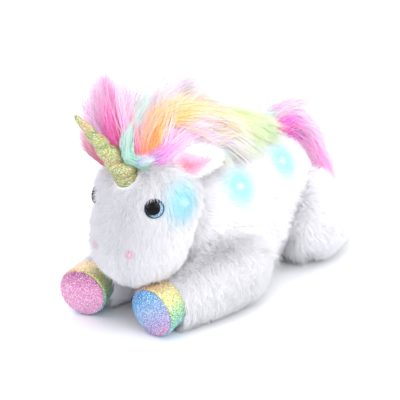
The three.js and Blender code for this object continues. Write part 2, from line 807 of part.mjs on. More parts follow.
// Eyes
const eyeSeats = [];
for (const [sideName, side] of Object.entries(sidesOfToy)) {
  const angle = side > 0 ? radians(eyeAngle) : Math.PI - radians(eyeAngle);
  const axis = head.normal(eyeShare, angle);
  const place = head.at(eyeShare, angle).addScaledVector(axis, -eyeSink);
  const radius = eyeDiameter / 2;
  const base = 2 * partGap + glitterThickness;
  const domeSteps = [0.33, 0.67].map((share) => [radius * Math.cos(share * Math.PI / 2),
    base + eyeRimThickness + (eyeDomeHeight - eyeRimThickness) * Math.sin(share * Math.PI / 2)]);
  add(`eye_${sideName}`, placed(revolved([
    [0, base - shankLength],
    [shankDiameter / 2, base - shankLength],
    [shankDiameter / 2, base],
    [radius, base],
    [radius, base + eyeRimThickness],
    ...domeSteps,
    [0, base + eyeDomeHeight],
  ], 18), place, axis), looks.clearPlastic);
  const hole = shankDiameter / 2 + partGap;
  add(`eye_glitter_${sideName}`, placed(revolved([
    [hole, partGap],
    [radius, partGap],
    [radius, partGap + glitterThickness],
    [hole, partGap + glitterThickness],
    [hole, partGap],
  ], 18), place, axis), looks.blueGlitter);
  const washerTop = -headSkin;
  add(`eye_washer_${sideName}`, placed(revolved([
    [hole, washerTop - washerThickness],
    [washerDiameter / 2, washerTop - washerThickness],
    [washerDiameter / 2, washerTop],
    [hole, washerTop],
    [hole, washerTop - washerThickness],
  ], 16), place, axis), looks.whitePlastic);
  eyeSeats.push(solidOf(placed(revolved([
    [0, base - shankLength - partGap],
    [hole, base - shankLength - partGap],
    [hole, washerTop - washerThickness - partGap],
    [washerDiameter / 2 + partGap, washerTop - washerThickness - partGap],
    [washerDiameter / 2 + partGap, washerTop + partGap],
    [hole, washerTop + partGap],
    [hole, 0],
    [radius + partGap, 0],
    [radius + partGap, eyeSink + overrun],
    [0, eyeSink + overrun],
  ], 18), place, axis)));
}

// Nostrils: patches that follow the muzzle
const muzzleSkin = head.solid(partGap + nostrilThickness).subtract(head.solid(partGap));
for (const [sideName, side] of Object.entries(sidesOfToy)) {
  const angle = side > 0 ? radians(nostrilAngle) : Math.PI - radians(nostrilAngle);
  const reach = 2 * nostrilHeight;
  const oval = new THREE.CylinderGeometry(nostrilWidth / 2, nostrilWidth / 2, reach, 12)
    .scale(1, 1, nostrilHeight / nostrilWidth).rotateX(Math.PI / 2);
  const outline = placed(oval, head.at(nostrilShare, angle), head.normal(nostrilShare, angle));
  add(`nostril_${sideName}`, muzzleSkin.intersect(solidOf(outline)), looks.pinkFelt);
}

// Heights of the belly pocket and its module, from the floor up
const flapHigh = flapRise + flapThickness;
const rimHeight = flapHigh + 2 * tapeThickness + 3 * partGap;
const coverHigh = rimHeight + coverThickness;
const cellHeight = coverHigh + partGap + cellDiameter / 2;
const cellTop = cellHeight + cellDiameter / 2;
const flangeLow = rimHeight + moduleWall + partGap;
const switchLow = flangeLow + buttonFlange + buttonTravel + partGap;
const boardLow = switchLow + switchHeight + partGap;
const boardHigh = boardLow + boardThickness;
const caseHigh = Math.max(boardHigh + partGap + boardRoom, cellTop + partGap + moduleWall);
const lidLow = caseHigh + partGap;
const moduleHigh = lidLow + moduleWall;

// Lengths and widths of the module
const bayWidth = 3 * cellDiameter + 2 * cellSpacing + 2 * partGap;
const cellRun = cellLength + cellNubLength;
const bayLength = springLength + cellRun + plateThickness + 4 * partGap;
const halfWidth = bayWidth / 2 + moduleWall;
const moduleLength = bayLength + boardBayLength + dividerThickness + 2 * moduleWall;
const moduleFront = pocketY - moduleLength / 2;
const moduleBack = pocketY + moduleLength / 2;
const bayFront = moduleFront + moduleWall;
const bayBack = bayFront + bayLength;
const boardFront = bayBack + dividerThickness;
const boardBack = moduleBack - moduleWall;
const boardY = (boardFront + boardBack) / 2;
const screwY = bayBack + dividerThickness / 2;
const coverBack = boardFront - partGap;
const xRange = bayWidth / 2;

// The plain round hole or pin along Z at a place
function pin(diameter, low, high, x, y, segments = 12) {
  return solidOf(new THREE.CylinderGeometry(diameter / 2, diameter / 2, high - low, segments)
    .rotateX(Math.PI / 2).translate(x, y, (low + high) / 2));
}

const moduleLow = [-halfWidth, moduleFront, rimHeight];
const caseBlock = solidOf(roundedBlock(moduleLow, [halfWidth, moduleBack, caseHigh], moduleCornerRadius));
const cellBay = solidOf(block([-xRange, bayFront, rimHeight - overrun],
  [xRange, bayBack, cellTop + partGap]));
const rebate = solidOf(block([-xRange - coverLip / 2, bayFront - coverLip / 2, rimHeight - overrun],
  [xRange + coverLip / 2, coverBack + partGap, coverHigh + partGap]));
const boardBay = solidOf(block([-xRange, boardFront, rimHeight + moduleWall],
  [xRange, boardBack, caseHigh + overrun]));
const leadSlot = solidOf(block([xRange - leadDiameter - partGap, bayBack - overrun, cellTop - leadDiameter],
  [xRange, boardFront + overrun, caseHigh + overrun]));
const buttonHole = pin(buttonDiameter + 2 * partGap, rimHeight - overrun, flangeLow, 0, boardY, 20);
const screwHole = pin(screwShankDiameter + 2 * partGap, rimHeight,
  coverHigh + screwLength + partGap, 0, screwY);
add("module_case", caseBlock.subtract(cellBay).subtract(rebate).subtract(boardBay).subtract(leadSlot)
  .subtract(buttonHole).subtract(screwHole), looks.whitePlastic);

const lipInset = coverLip / 2 - partGap;
const coverPlate = solidOf(block([-xRange - lipInset, bayFront - lipInset, rimHeight],
  [xRange + lipInset, coverBack, coverHigh]));
const headRecess = pin(screwHeadDiameter + 2 * partGap, rimHeight - overrun,
  rimHeight + screwHeadThickness / 2 + partGap, 0, screwY);
const coverHole = pin(screwShankDiameter + 2 * partGap, rimHeight - overrun,
  coverHigh + overrun, 0, screwY);
add("battery_cover", coverPlate.subtract(headRecess).subtract(coverHole), looks.whitePlastic);
const screwHeadLow = rimHeight - screwHeadThickness / 2;
add("cover_screw", revolved([
  [0, screwHeadLow],
  [screwHeadDiameter / 2, screwHeadLow],
  [screwHeadDiameter / 2, screwHeadLow + screwHeadThickness],
  [screwShankDiameter / 2, screwHeadLow + screwHeadThickness],
  [screwShankDiameter / 2, coverHigh + screwLength],
  [0, coverHigh + screwLength],
], 12).translate(0, screwY, 0), looks.steel);

// Lid: a plate with two posts that hold the board down
const loomHole = pin(loomDiameter + 2 * partGap, lidLow - overrun, moduleHigh + overrun, 0, boardY);
const posts = [-1, 1].map((side) => pin(postDiameter, boardHigh + partGap, lidLow + moduleWall / 2,
  side * (xRange - postDiameter), boardY));
const lidPlate = solidOf(roundedBlock([-halfWidth, moduleFront, lidLow],
  [halfWidth, moduleBack, moduleHigh], moduleCornerRadius));
add("module_lid", joined([lidPlate, ...posts]).subtract(loomHole), looks.whitePlastic);

// Cells lie side by side, each turned against the next, with a spring at its flat end
for (let k = 0; k < 3; k++) {
  const x = (k - 1) * (cellDiameter + cellSpacing);
  const heading = k % 2 === 0 ? 1 : -1;
  const springEnd = heading > 0 ? bayFront : bayBack;
  const from = (distance) => springEnd + heading * distance;
  const cellStart = 2 * partGap + springLength;
  const direction = new THREE.Vector3(0, heading, 0);
  add(`battery_${k + 1}`, placed(revolved([
    [0, 0],
    [cellDiameter / 2, 0],
    [cellDiameter / 2, cellLength],
    [cellNubDiameter / 2, cellLength],
    [cellNubDiameter / 2, cellRun],
    [0, cellRun],
  ], 14), new THREE.Vector3(x, from(cellStart), cellHeight), direction), looks.cellJacket);
  const plateStart = cellStart + cellRun + partGap;
  const plateY = [from(plateStart), from(plateStart + plateThickness)];
  add(`contact_plate_${k + 1}`, block([x - plateSize / 2, Math.min(...plateY), cellHeight - plateSize / 2],
    [x + plateSize / 2, Math.max(...plateY), cellHeight + plateSize / 2]), looks.steel);
  const coilSteps = springTurns * 8;
  const coil = Array.from({ length: coilSteps + 1 }, (_, i) => {
    const share = i / coilSteps;
    const turn = 2 * Math.PI * springTurns * share;
    const radius = THREE.MathUtils.lerp(springDiameter, springTipDiameter, share) / 2 - springWire / 2;
    const along = from(partGap + springWire + (springLength - 2 * springWire) * share);
    return new THREE.Vector3(x + radius * Math.cos(turn), along, cellHeight + radius * Math.sin(turn));
  });
  add(`contact_spring_${k + 1}`, tube(coil, springWire / 2, 5, 1), looks.steel);
}

// Board, switch and button
add("circuit_board", roundedBlock([-xRange + partGap, boardFront + partGap, boardLow],
  [xRange - partGap, boardBack - partGap, boardHigh], buttonFlange), looks.boardGreen);
const flangeHigh = flangeLow + buttonFlange;
const stemHigh = switchLow + buttonStemLength - buttonTravel;
const stemHole = pin(buttonStemDiameter + 2 * partGap, switchLow - overrun,
  stemHigh + buttonTravel + partGap, 0, boardY);
const switchBody = solidOf(block([-switchSize / 2, boardY - switchSize / 2, switchLow],
  [switchSize / 2, boardY + switchSize / 2, switchLow + switchHeight]));
add("switch_housing", switchBody.subtract(stemHole), looks.greyPlastic);
const capEdge = buttonProud / 3;
add("push_button", revolved([
  [0, rimHeight - buttonProud],
  [buttonDiameter / 2 - capEdge, rimHeight - buttonProud],
  [buttonDiameter / 2, rimHeight - buttonProud + capEdge],
  [buttonDiameter / 2, flangeLow],
  [buttonDiameter / 2 + buttonFlangeRim, flangeLow],
  [buttonDiameter / 2 + buttonFlangeRim, flangeHigh],
  [buttonStemDiameter / 2, flangeHigh],
  [buttonStemDiameter / 2, stemHigh],
  [0, stemHigh],
], 20).translate(0, boardY, 0), looks.greyPlastic);

// Pocket liner: a cloth bag round the module, open below
const linerIn = partGap;
const linerOut = partGap + linerThickness;
const bag = (grow, low) => solidOf(roundedBlock([-halfWidth - grow, moduleFront - grow, low],
  [halfWidth + grow, moduleBack + grow, moduleHigh + grow], moduleCornerRadius + grow));
const linerHole = pin(loomDiameter + 2 * partGap, moduleHigh, moduleHigh + overrun, 0, boardY);
const liner = bag(linerOut, rimHeight).subtract(bag(linerIn, rimHeight - overrun));
add("pocket_liner", liner.subtract(linerHole), looks.linerCloth);

// Flap: hinged on its sewn back edge, held at the front by hook and loop tape
const flapHalf = halfWidth + linerOut + flapMargin;
const flapBack = moduleBack + linerOut + flapMargin;
const flapFront = moduleFront - linerOut - tapeDepth - 2 * tapeMargin;
const hingeY = flapBack - flapThickness / 2;
const hingeHeight = flapRise + flapThickness / 2;
const flapPlate = solidOf(roundedBlock([-flapHalf, flapFront, flapRise],
  [flapHalf, hingeY + flapThickness, flapHigh], recessCornerRadius))
  .subtract(solidOf(block([-flapHalf - overrun, hingeY, flapRise - overrun],
    [flapHalf + overrun, flapBack + 2 * overrun, flapHigh + overrun])));
const roll = solidOf(new THREE.CylinderGeometry(flapThickness / 2, flapThickness / 2, 2 * flapHalf, 12)
  .rotateZ(Math.PI / 2).translate(0, hingeY, hingeHeight));
add("pocket_flap", flapPlate.add(roll), looks.whitePlush);
const tapeBack = flapFront + tapeMargin + tapeDepth;
const tapeLow = flapHigh + partGap;
const tapeHalf = flapHalf - 2 * tapeMargin;
const tape = (low) => block([-tapeHalf, flapFront + tapeMargin, low],
  [tapeHalf, tapeBack, low + tapeThickness]);
add("hook_tape", tape(tapeLow), looks.tapeWhite);
add("loop_tape", tape(tapeLow + tapeThickness + partGap), looks.tapeWhite);
const recessWall = flapBack + partGap;
const recess = solidOf(block([-flapHalf - partGap, flapFront - partGap, -overrun],
  [flapHalf + partGap, recessWall, rimHeight]));
// Below the hinge the recess slopes back, so that the open flap clears it
const slopeDrop = hingeHeight + overrun;
const slopeRun = slopeDrop * Math.tan(radians(flapSwing - 90 + hingeSlack));
const slopeOutline = new THREE.Shape([
  [-partGap, 0],
  [-partGap, -slopeDrop],
  [slopeRun, -slopeDrop],
  [0, 0],
].map(([y, z]) => new THREE.Vector2(y, z)));
const turnToSide = new THREE.Matrix4().makeBasis(new THREE.Vector3(0, 1, 0),
  new THREE.Vector3(0, 0, 1), new THREE.Vector3(1, 0, 0));
const hingeSlope = solidOf(new THREE.ExtrudeGeometry(slopeOutline,
  { depth: 2 * (flapHalf + partGap), bevelEnabled: false })
  .applyMatrix4(turnToSide).translate(-flapHalf - partGap, recessWall, hingeHeight));
const pocket = bag(linerOut + partGap, rimHeight - overrun);

// Lamps and their wiring: each pair of leads runs from the loom through the stuffing to its lamp
const loomTop = new THREE.Vector3(0, boardY, loomHeight);
const loomFoot = new THREE.Vector3(0, boardY, boardHigh + partGap);
const lampSeats = [];
function lampForm(grow) {
  const radius = lampDiameter / 2 + grow;
  const dome = lampLength - lampDiameter / 2;
  return revolved([
    [0, -grow],
    [lampRimDiameter / 2 + grow, -grow],
    [lampRimDiameter / 2 + grow, lampRimLength + grow],
    [radius, lampRimLength + grow],
    [radius, dome],
    [radius * Math.cos(Math.PI / 4), dome + radius * Math.sin(Math.PI / 4)],
    [0, lampLength + grow],
  ], 12);
}
const leadPaths = [[loomFoot, loomFoot.clone().lerp(loomTop, 0.5), loomTop]];
for (const [sideName, side] of Object.entries(sidesOfToy)) {
  const flankSpots = Object.keys(flankLampShares)
    .map((name) => [name, torso, flankLampShares[name], flankLampAngles[name]]);
  const spots = [["cheek", head, cheekLampShare, cheekLampAngle], ...flankSpots];
  for (const [name, form, share, degrees] of spots) {
    const angle = side > 0 ? radians(degrees) : Math.PI - radians(degrees);
    const axis = form.normal(share, angle);
    const base = form.at(share, angle).addScaledVector(axis, -lampDepth - lampLength);
    add(`lamp_${name}_${sideName}`, placed(lampForm(0), base, axis), looks.lampClear);
    lampSeats.push(solidOf(placed(lampForm(lampClearance), base, axis)));
    const end = base.clone().addScaledVector(axis, -partGap);
    const bend = base.clone().addScaledVector(axis, -lampLength * 2);
    leadPaths.push([loomTop, loomTop.clone().lerp(bend, 0.55), bend, end]);
  }
}
const wiring = (grow) => joined(leadPaths.map((path, i) => solidOf(tube(path,
  (i === 0 ? loomDiameter : leadDiameter) / 2 + grow, 6, i === 0 ? 1 : 2))));
add("wire_harness", wiring(0), looks.wireWhite);
const wiringCutter = joined([wiring(lampClearance), ...lampSeats]);

add("head", eyeSeats.reduce((solid, seat) => solid.subtract(seat), head.solid())
  .subtract(torsoCutter).subtract(wiringCutter), looks.whitePlush);
const belly = torso.solid().subtract(recess).subtract(hingeSlope).subtract(pocket);
add("torso", belly.subtract(wiringCutter).subtract(belowFloor), looks.whitePlush);

// The toy is centred on the origin over the plane that it lies on
const middle = new THREE.Box3().setFromObject(toy).getCenter(new THREE.Vector3());
toy.position.set(-middle.x, -middle.y, 0);

export default toy;
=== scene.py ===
"""A plush night light: a lying unicorn of long white pile with a rainbow mane and tail, a gold glitter
horn, glitter hooves, plastic eyes and six small lamps that glow through its fur.

Every form is a stuffed form: rings carried along a spine. The pile is thousands of closed spikes that
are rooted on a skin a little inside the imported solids, so that their tips reach the solids' outline.
"""
import math
from functools import cache

import bmesh
import bpy
import numpy as np
from bpy.props import FloatProperty, FloatVectorProperty, IntProperty, PointerProperty
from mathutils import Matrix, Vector


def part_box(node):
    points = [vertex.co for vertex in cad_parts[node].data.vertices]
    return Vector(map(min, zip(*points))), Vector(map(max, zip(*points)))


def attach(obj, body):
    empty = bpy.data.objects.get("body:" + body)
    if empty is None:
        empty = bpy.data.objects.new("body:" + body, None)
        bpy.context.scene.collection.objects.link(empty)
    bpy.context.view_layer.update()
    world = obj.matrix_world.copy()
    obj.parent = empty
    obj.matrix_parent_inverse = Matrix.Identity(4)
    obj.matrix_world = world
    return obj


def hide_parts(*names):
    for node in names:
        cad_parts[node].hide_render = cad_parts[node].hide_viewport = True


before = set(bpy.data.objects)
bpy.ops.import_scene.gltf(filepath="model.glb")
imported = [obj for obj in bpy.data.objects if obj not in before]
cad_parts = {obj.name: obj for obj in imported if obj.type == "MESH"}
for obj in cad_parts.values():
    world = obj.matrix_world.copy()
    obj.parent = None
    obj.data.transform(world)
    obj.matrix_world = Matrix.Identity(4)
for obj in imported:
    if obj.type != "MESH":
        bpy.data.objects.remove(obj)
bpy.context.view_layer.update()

bl_info = {
    "name": "Plush Night Light",
    "version": (1, 0, 0),
    "blender": (4, 5, 0),
    "location": "3D View > Sidebar > Night Light",
    "description": "A lying plush unicorn with a rainbow mane and lamps under its fur",
    "category": "Add Mesh",
}

MM = 0.001
BODY = "toy"
SIDES = {"left": 1, "right": -1}
# The torso's front end lies here before the toy is centred, which gives the centring shift
TORSO_FRONT = -120 * MM
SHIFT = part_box("torso")[0].y - TORSO_FRONT
FLOOR_GAP = 0.3 * MM
SEAM_GAP = 0.35 * MM


def length(name, description, value):
    """A length property in metres with its default."""
    return FloatProperty(name=name, description=description, default=value, min=0.0,
                         unit="LENGTH", subtype="DISTANCE", precision=4)


def strands(name, description, value):
    """A number of strands with its default."""
    return IntProperty(name=name, description=description, default=value, min=100)


def colour(name, description, code):
    """A colour property whose default is written as in a paint chart, two hexadecimal digits a channel."""
    return FloatVectorProperty(name=name, description=description, default=linear(code)[:3],
                               size=3, min=0.0, max=1.0, subtype="COLOR")


def linear(code):
    """The linear colour of a code: each channel over 255, then the standard curve that undoes gamma."""
    share = np.array([int(code[i:i + 2], 16) for i in (0, 2, 4)]) / 255
    plain = np.where(share <= 0.04045, share / 12.92, ((share + 0.055) / 1.055) ** 2.4)
    return (*(float(value) for value in plain), 1.0)


class NightLightSizes(bpy.types.PropertyGroup):
    """Real sizes of the stuffed forms"""
    torso_length: length("Torso length", "From chest to rump", 0.280)
    torso_width: length("Torso width", "Across the ribs", 0.126)
    torso_height: length("Torso height", "From belly to back", 0.164)
    head_length: length("Head length", "From muzzle to crown", 0.146)
    head_width: length("Head width", "Across the cheeks", 0.110)
    head_depth: length("Head depth", "From forehead to nape", 0.112)
    foreleg_thickness: length("Foreleg thickness", "At the shoulder", 0.078)
    foreleg_length: length("Foreleg length", "From shoulder to ankle", 0.146)
    hind_leg_thickness: length("Hind leg thickness", "At the thigh", 0.090)
    hind_leg_length: length("Hind leg length", "From hip to ankle", 0.122)
    hoof_length: length("Hoof length", "From ankle to sole seam", 0.026)
    hoof_diameter: length("Hoof diameter", "Across the sole seam", 0.055)
    ear_length: length("Ear length", "From root to tip", 0.060)
    ear_width: length("Ear width", "Across the leaf", 0.038)
    horn_length: length("Horn length", "From its sunk root to its tip", 0.105)
    horn_base: length("Horn base", "Diameter at the root", 0.030)
    horn_tip: length("Horn tip", "Diameter at the tip", 0.005)
    eye_diameter: length("Eye diameter", "Across the plastic dome", 0.020)


class NightLightPile(bpy.types.PropertyGroup):
    """Length, thickness and number of the pile's strands"""
    inset: length("Skin inset", "How far the cloth lies inside the fur's outline", 0.006)
    pile: length("Pile length", "Length of the white pile", 0.012)
    thread: length("Strand thickness", "Thickness of a white strand at its root", 0.0009)
    hair: length("Hair thickness", "Thickness of a mane hair at its root", 0.0007)
    tail: length("Tail hair length", "Length of the tail's hair", 0.052)
    torso_strands: strands("Torso strands", "White strands on the torso", 88000)
    head_strands: strands("Head strands", "White strands on the head", 60000)
    leg_strands: strands("Leg strands", "White strands on each leg", 28000)
    ear_strands: strands("Ear strands", "White strands on each ear", 4000)


class NightLightColours(bpy.types.PropertyGroup):
    """Colours of the cloth, the pile and the lamps"""
    white: colour("White pile", "The body's fur", "fbfafd")
    glow: colour("Lamp glow", "Light that the fur spreads round a lamp", "9fe2ef")
    pink: colour("Pink cloth", "Linings and nostrils", "eeaec8")
    iris: colour("Iris glitter", "Film behind the pupil", "8fb4cc")


def sizes():
    return bpy.context.scene.night_light_sizes


def pile():
    return bpy.context.scene.night_light_pile


def colours():
    return bpy.context.scene.night_light_colours


# Vectors and curves

def unit(vectors):
    """Vectors divided by their lengths."""
    vectors = np.asarray(vectors, float)
    return vectors / np.maximum(np.linalg.norm(vectors, axis=-1, keepdims=True), 1e-12)


def place(*values):
    """A point given in millimetres before the toy was centred, in metres in the shared frame."""
    return np.array(values, float) * MM + np.array([0, SHIFT, 0])


def cubic(t, start, leave, end, reach):
    """The cubic from start to end, at a share t of the way, whose end slopes are leave and reach."""
    return ((2 * t**3 - 3 * t**2 + 1) * start + (t**3 - 2 * t**2 + t) * leave
            + (3 * t**2 - 2 * t**3) * end + (t**3 - t**2) * reach)


class Curve:
    """A centripetal Catmull-Rom curve: between two points it is a cubic whose end slopes come from the
    points on either side, each step weighted by the square root of its length. It is read by the share
    of its length."""
    STEPS = 120

    def __init__(self, points):
        p = np.asarray(points, float)
        p = np.vstack([2 * p[0] - p[1], p, 2 * p[-1] - p[-2]])
        a, b, c, d = p[:-3], p[1:-2], p[2:-1], p[3:]
        before, within, after = (np.sqrt(np.linalg.norm(n - m, axis=1, keepdims=True))
                                 for m, n in ((a, b), (b, c), (c, d)))
        leave = ((b - a) / before - (c - a) / (before + within) + (c - b) / within) * within
        reach = ((c - b) / within - (d - b) / (within + after) + (d - c) / after) * within
        t = np.linspace(0, 1, self.STEPS, endpoint=False)[None, :, None]
        b, c, leave, reach = (v[:, None, :] for v in (b, c, leave, reach))
        self.line = np.vstack([cubic(t, b, leave, c, reach).reshape(-1, 3), p[-2]])
        run = np.concatenate([[0], np.cumsum(np.linalg.norm(np.diff(self.line, axis=0), axis=1))])
        self.share = run / run[-1]
        self.length = run[-1]
        self.slope = unit(np.gradient(self.line, self.share, axis=0))

    def at(self, share):
        return np.stack([np.interp(share, self.share, self.line[:, k]) for k in range(3)], -1)

    def heading(self, share):
        return unit(np.stack([np.interp(share, self.share, self.slope[:, k]) for k in range(3)], -1))


def read_rows(rows, share):
    """Rows of [share, value, value, ...] read at many shares: a cubic between each two rows, with the
    slope at a row taken from its neighbours."""
    rows = np.asarray(rows, float)
    last = len(rows) - 1
    k = np.clip(np.searchsorted(rows[:, 0], share, side="left") - 1, 0, last - 1)
    a, b = rows[k], rows[k + 1]
    before, after = rows[np.maximum(k - 1, 0)], rows[np.minimum(k + 2, last)]
    step = (b[..., 0] - a[..., 0])[..., None]
    t = (np.asarray(share)[..., None] - a[..., :1]) / step
    low, high = a[..., 1:], b[..., 1:]
    leave = (high - before[..., 1:]) / (b[..., :1] - before[..., :1]) * step
    reach = (after[..., 1:] - low) / (after[..., :1] - a[..., :1]) * step
    return cubic(t, low, leave, high, reach)


class Form:
    """A stuffed form: rings carried along a spine. A ring is a superellipse: across the spine it reaches
    its half width times the cosine to a power, and towards its facing side its rise or drop times the
    sine to a power. Near a round end the ring shrinks by the sine of the cap's turn."""

    def __init__(self, spine, facing, width, depth, rings, rounds=(0, 0), fullness=(2.2, 2.2),
                 relief=None):
        self.curve = Curve(spine)
        self.facing = unit(facing)
        self.width, self.depth, self.rings = width, depth, rings
        self.rounds, self.fullness = rounds, fullness
        self.relief = relief

    def axes(self, share):
        along = self.curve.heading(share)
        front = unit(self.facing - along * (along @ self.facing)[..., None])
        return along, front, np.cross(along, front)

    def turn(self, share):
        """The cap's turn from its pole to the full ring, and which end it belongs to."""
        start, end = self.rounds
        turn = np.full(np.shape(share), math.pi / 2)
        sign = np.where(share < 0.5, -1.0, 1.0)
        if start > 0:
            turn = np.where(share < start, np.arccos(np.clip(1 - share / start, -1, 1)), turn)
        if end > 0:
            turn = np.where(share > 1 - end, np.arccos(np.clip(1 - (1 - share) / end, -1, 1)), turn)
        return turn, sign

    def at(self, share, angle, grow=0.0):
        share, angle, grow = np.broadcast_arrays(np.asarray(share, float), np.asarray(angle, float),
                                                 np.asarray(grow, float))
        along, front, across = self.axes(share)
        wide, ahead, behind = np.moveaxis(read_rows(self.rings, share), -1, 0)
        turn, sign = self.turn(share)
        c, s = np.cos(angle), np.sin(angle)
        power = np.where(s > 0, 2 / self.fullness[0], 2 / self.fullness[1])
        relief = 1.0 if self.relief is None else self.relief(share, angle)
        reach = wide * self.width * relief + grow
        height = np.where(s > 0, ahead, behind) * self.depth * relief + grow
        # A flat end moves out as a whole
        flat = ((share <= 0) & (self.rounds[0] == 0)) | ((share >= 1) & (self.rounds[1] == 0))
        lift = sign * grow * np.where(flat, 1.0, np.cos(turn))
        ring = np.sin(turn)
        return (self.curve.at(share) + along * lift[..., None]
                + across * (reach * ring * np.sign(c) * np.abs(c) ** power)[..., None]
                + front * (height * ring * np.sign(s) * np.abs(s) ** power)[..., None])

    def normal(self, share, angle):
        """The outward direction: the slope along the spine crossed with the slope round it."""
        small = 2e-3
        share = np.clip(share, 0.02, 0.98)
        onward = self.at(share + small, angle) - self.at(share - small, angle)
        around = self.at(share, angle + small) - self.at(share, angle - small)
        return unit(np.cross(onward, around))

    def holds(self, points, grow=0.0):
        """Which points lie inside: the nearest place on the spine gives the ring, and the ring's own
        equation tells inside from outside."""
        stops = np.linspace(0, 1, 81)
        spine = self.curve.at(stops)
        gap = ((points[:, None, :] - spine[None]) ** 2).sum(-1)
        share = stops[np.argmin(gap, axis=1)]
        along, front, across = self.axes(share)
        off = points - self.curve.at(share)
        wide, ahead, behind = read_rows(self.rings, share).T
        turn, _ = self.turn(share)
        x, y, z = ((off * axis).sum(-1) for axis in (across, front, along))
        ring = np.sin(turn) + 1e-6
        reach = np.maximum((wide * self.width + grow) * ring, 1e-6)
        height = np.maximum((np.where(y > 0, ahead, behind) * self.depth + grow) * ring, 1e-6)
        power = np.where(y > 0, self.fullness[0], self.fullness[1])
        within = np.abs(x / reach) ** power + np.abs(y / height) ** power < 1
        return within & (np.abs(z) < 4 * MM + max(grow, 0.0))

    def places(self, rows, cap_rows):
        """Shares of the rings: even in the middle, and in the caps by one less the cosine."""
        start, end = self.rounds
        cap = 1 - np.cos(np.arange(1, cap_rows) / cap_rows * math.pi / 2)
        first = cap * start if start > 0 else np.empty(0)
        last = 1 - cap[::-1] * end if end > 0 else np.empty(0)
        return np.concatenate([first, np.linspace(start, 1 - end, rows + 1), last])

    def closed(self, grow=0.0, sides=72, rows=44, cap_rows=12):
        """The closed surface as points and faces: a grid of share and angle with a point at each pole."""
        share = self.places(rows, cap_rows)
        angle = np.arange(sides) * 2 * math.pi / sides
        ring_points = self.at(share[:, None], angle[None, :], grow)
        ends = self.curve.at(np.array([0.0, 1.0]))
        ends += self.curve.heading(np.array([0.0, 1.0])) * np.array([[-1.0], [1.0]]) * grow
        return closed_grid(ring_points, ends[0], ends[1])


def closed_grid(rings, first, last):
    """Rings of points joined by quads and closed by a fan of triangles round a point at each end."""
    rows, sides = rings.shape[:2]
    j, i = np.meshgrid(np.arange(rows - 1), np.arange(sides), indexing="ij")
    a, b = j * sides + i, j * sides + (i + 1) % sides
    quads = np.stack([a, b, b + sides, a + sides], -1).reshape(-1, 4)
    i = np.arange(sides)
    following = (i + 1) % sides
    start, end = rows * sides, rows * sides + 1
    near = np.stack([np.full(sides, start), following, i], -1)
    top = (rows - 1) * sides
    far = np.stack([np.full(sides, end), top + i, top + following], -1)
    points = np.vstack([rings.reshape(-1, 3), first, last])
    return points, quads, np.vstack([near, far])


def piece_of(name, points, *blocks, smooth=True):
    """A new object from points and blocks of faces, each block an array with one face in a row."""
    mesh = bpy.data.meshes.new(name)
    corners = np.concatenate([block.ravel() for block in blocks]).astype(np.int32)
    counts = np.concatenate([np.full(len(block), block.shape[1]) for block in blocks])
    mesh.vertices.add(len(points))
    mesh.vertices.foreach_set("co", np.asarray(points, np.float32).ravel())
    mesh.loops.add(len(corners))
    mesh.loops.foreach_set("vertex_index", corners)
    mesh.polygons.add(len(counts))
    mesh.polygons.foreach_set("loop_start", (np.cumsum(counts) - counts).astype(np.int32))
    mesh.polygons.foreach_set("use_smooth", np.full(len(counts), smooth))
    mesh.update(calc_edges=True)
    mesh.validate()
    piece = bpy.data.objects.new(name, mesh)
    bpy.context.scene.collection.objects.link(piece)
    return piece


def give_map(piece, name, places):
    """Writes a UV map from one place for each vertex."""
    mesh = piece.data
    corner = np.empty(len(mesh.loops), np.int32)
    mesh.loops.foreach_get("vertex_index", corner)
    layer = mesh.uv_layers.new(name=name)
    layer.uv.foreach_set("vector", np.asarray(places, np.float32)[corner].ravel())


def give_tint(piece, tints):
    """Writes a colour for each vertex, which the pile's material reads."""
    layer = piece.data.color_attributes.new(name="Tint", type="FLOAT_COLOR", domain="POINT")
    full = np.column_stack([tints, np.ones(len(tints))]).astype(np.float32)
    layer.data.foreach_set("color", full.ravel())


def cut(piece, *cutters):
    """Takes closed shapes away from a piece for good, each given as points and blocks of faces."""
    for k, shape in enumerate(cutters):
        tool = piece_of(f"cutter_{k}", *shape)
        modifier = piece.modifiers.new("Cut", "BOOLEAN")
        modifier.operation = "DIFFERENCE"
        modifier.solver = "EXACT"
        modifier.object = tool
        whole = bpy.context.evaluated_depsgraph_get()
        old = piece.data
        piece.data = bpy.data.meshes.new_from_object(piece.evaluated_get(whole))
        piece.data.name = piece.name
        piece.modifiers.clear()
        bpy.data.meshes.remove(old)
        old = tool.data
        bpy.data.objects.remove(tool)
        bpy.data.meshes.remove(old)
    piece.data.polygons.foreach_set("use_smooth", np.full(len(piece.data.polygons), True))


def rest_on_floor(points, height=FLOOR_GAP):
    """Points pressed up to the floor where they would reach through it."""
    points = points.copy()
    points[..., 2] = np.maximum(points[..., 2], height)
    return points


def finish_piece(piece, look, body=BODY, replaced=()):
    """Gives a piece its material, the body it rides on and what it stands for."""
    piece.data.materials.clear()
    piece.data.materials.append(look)
    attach(piece, body)
    if replaced:
        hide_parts(*replaced)
    return piece


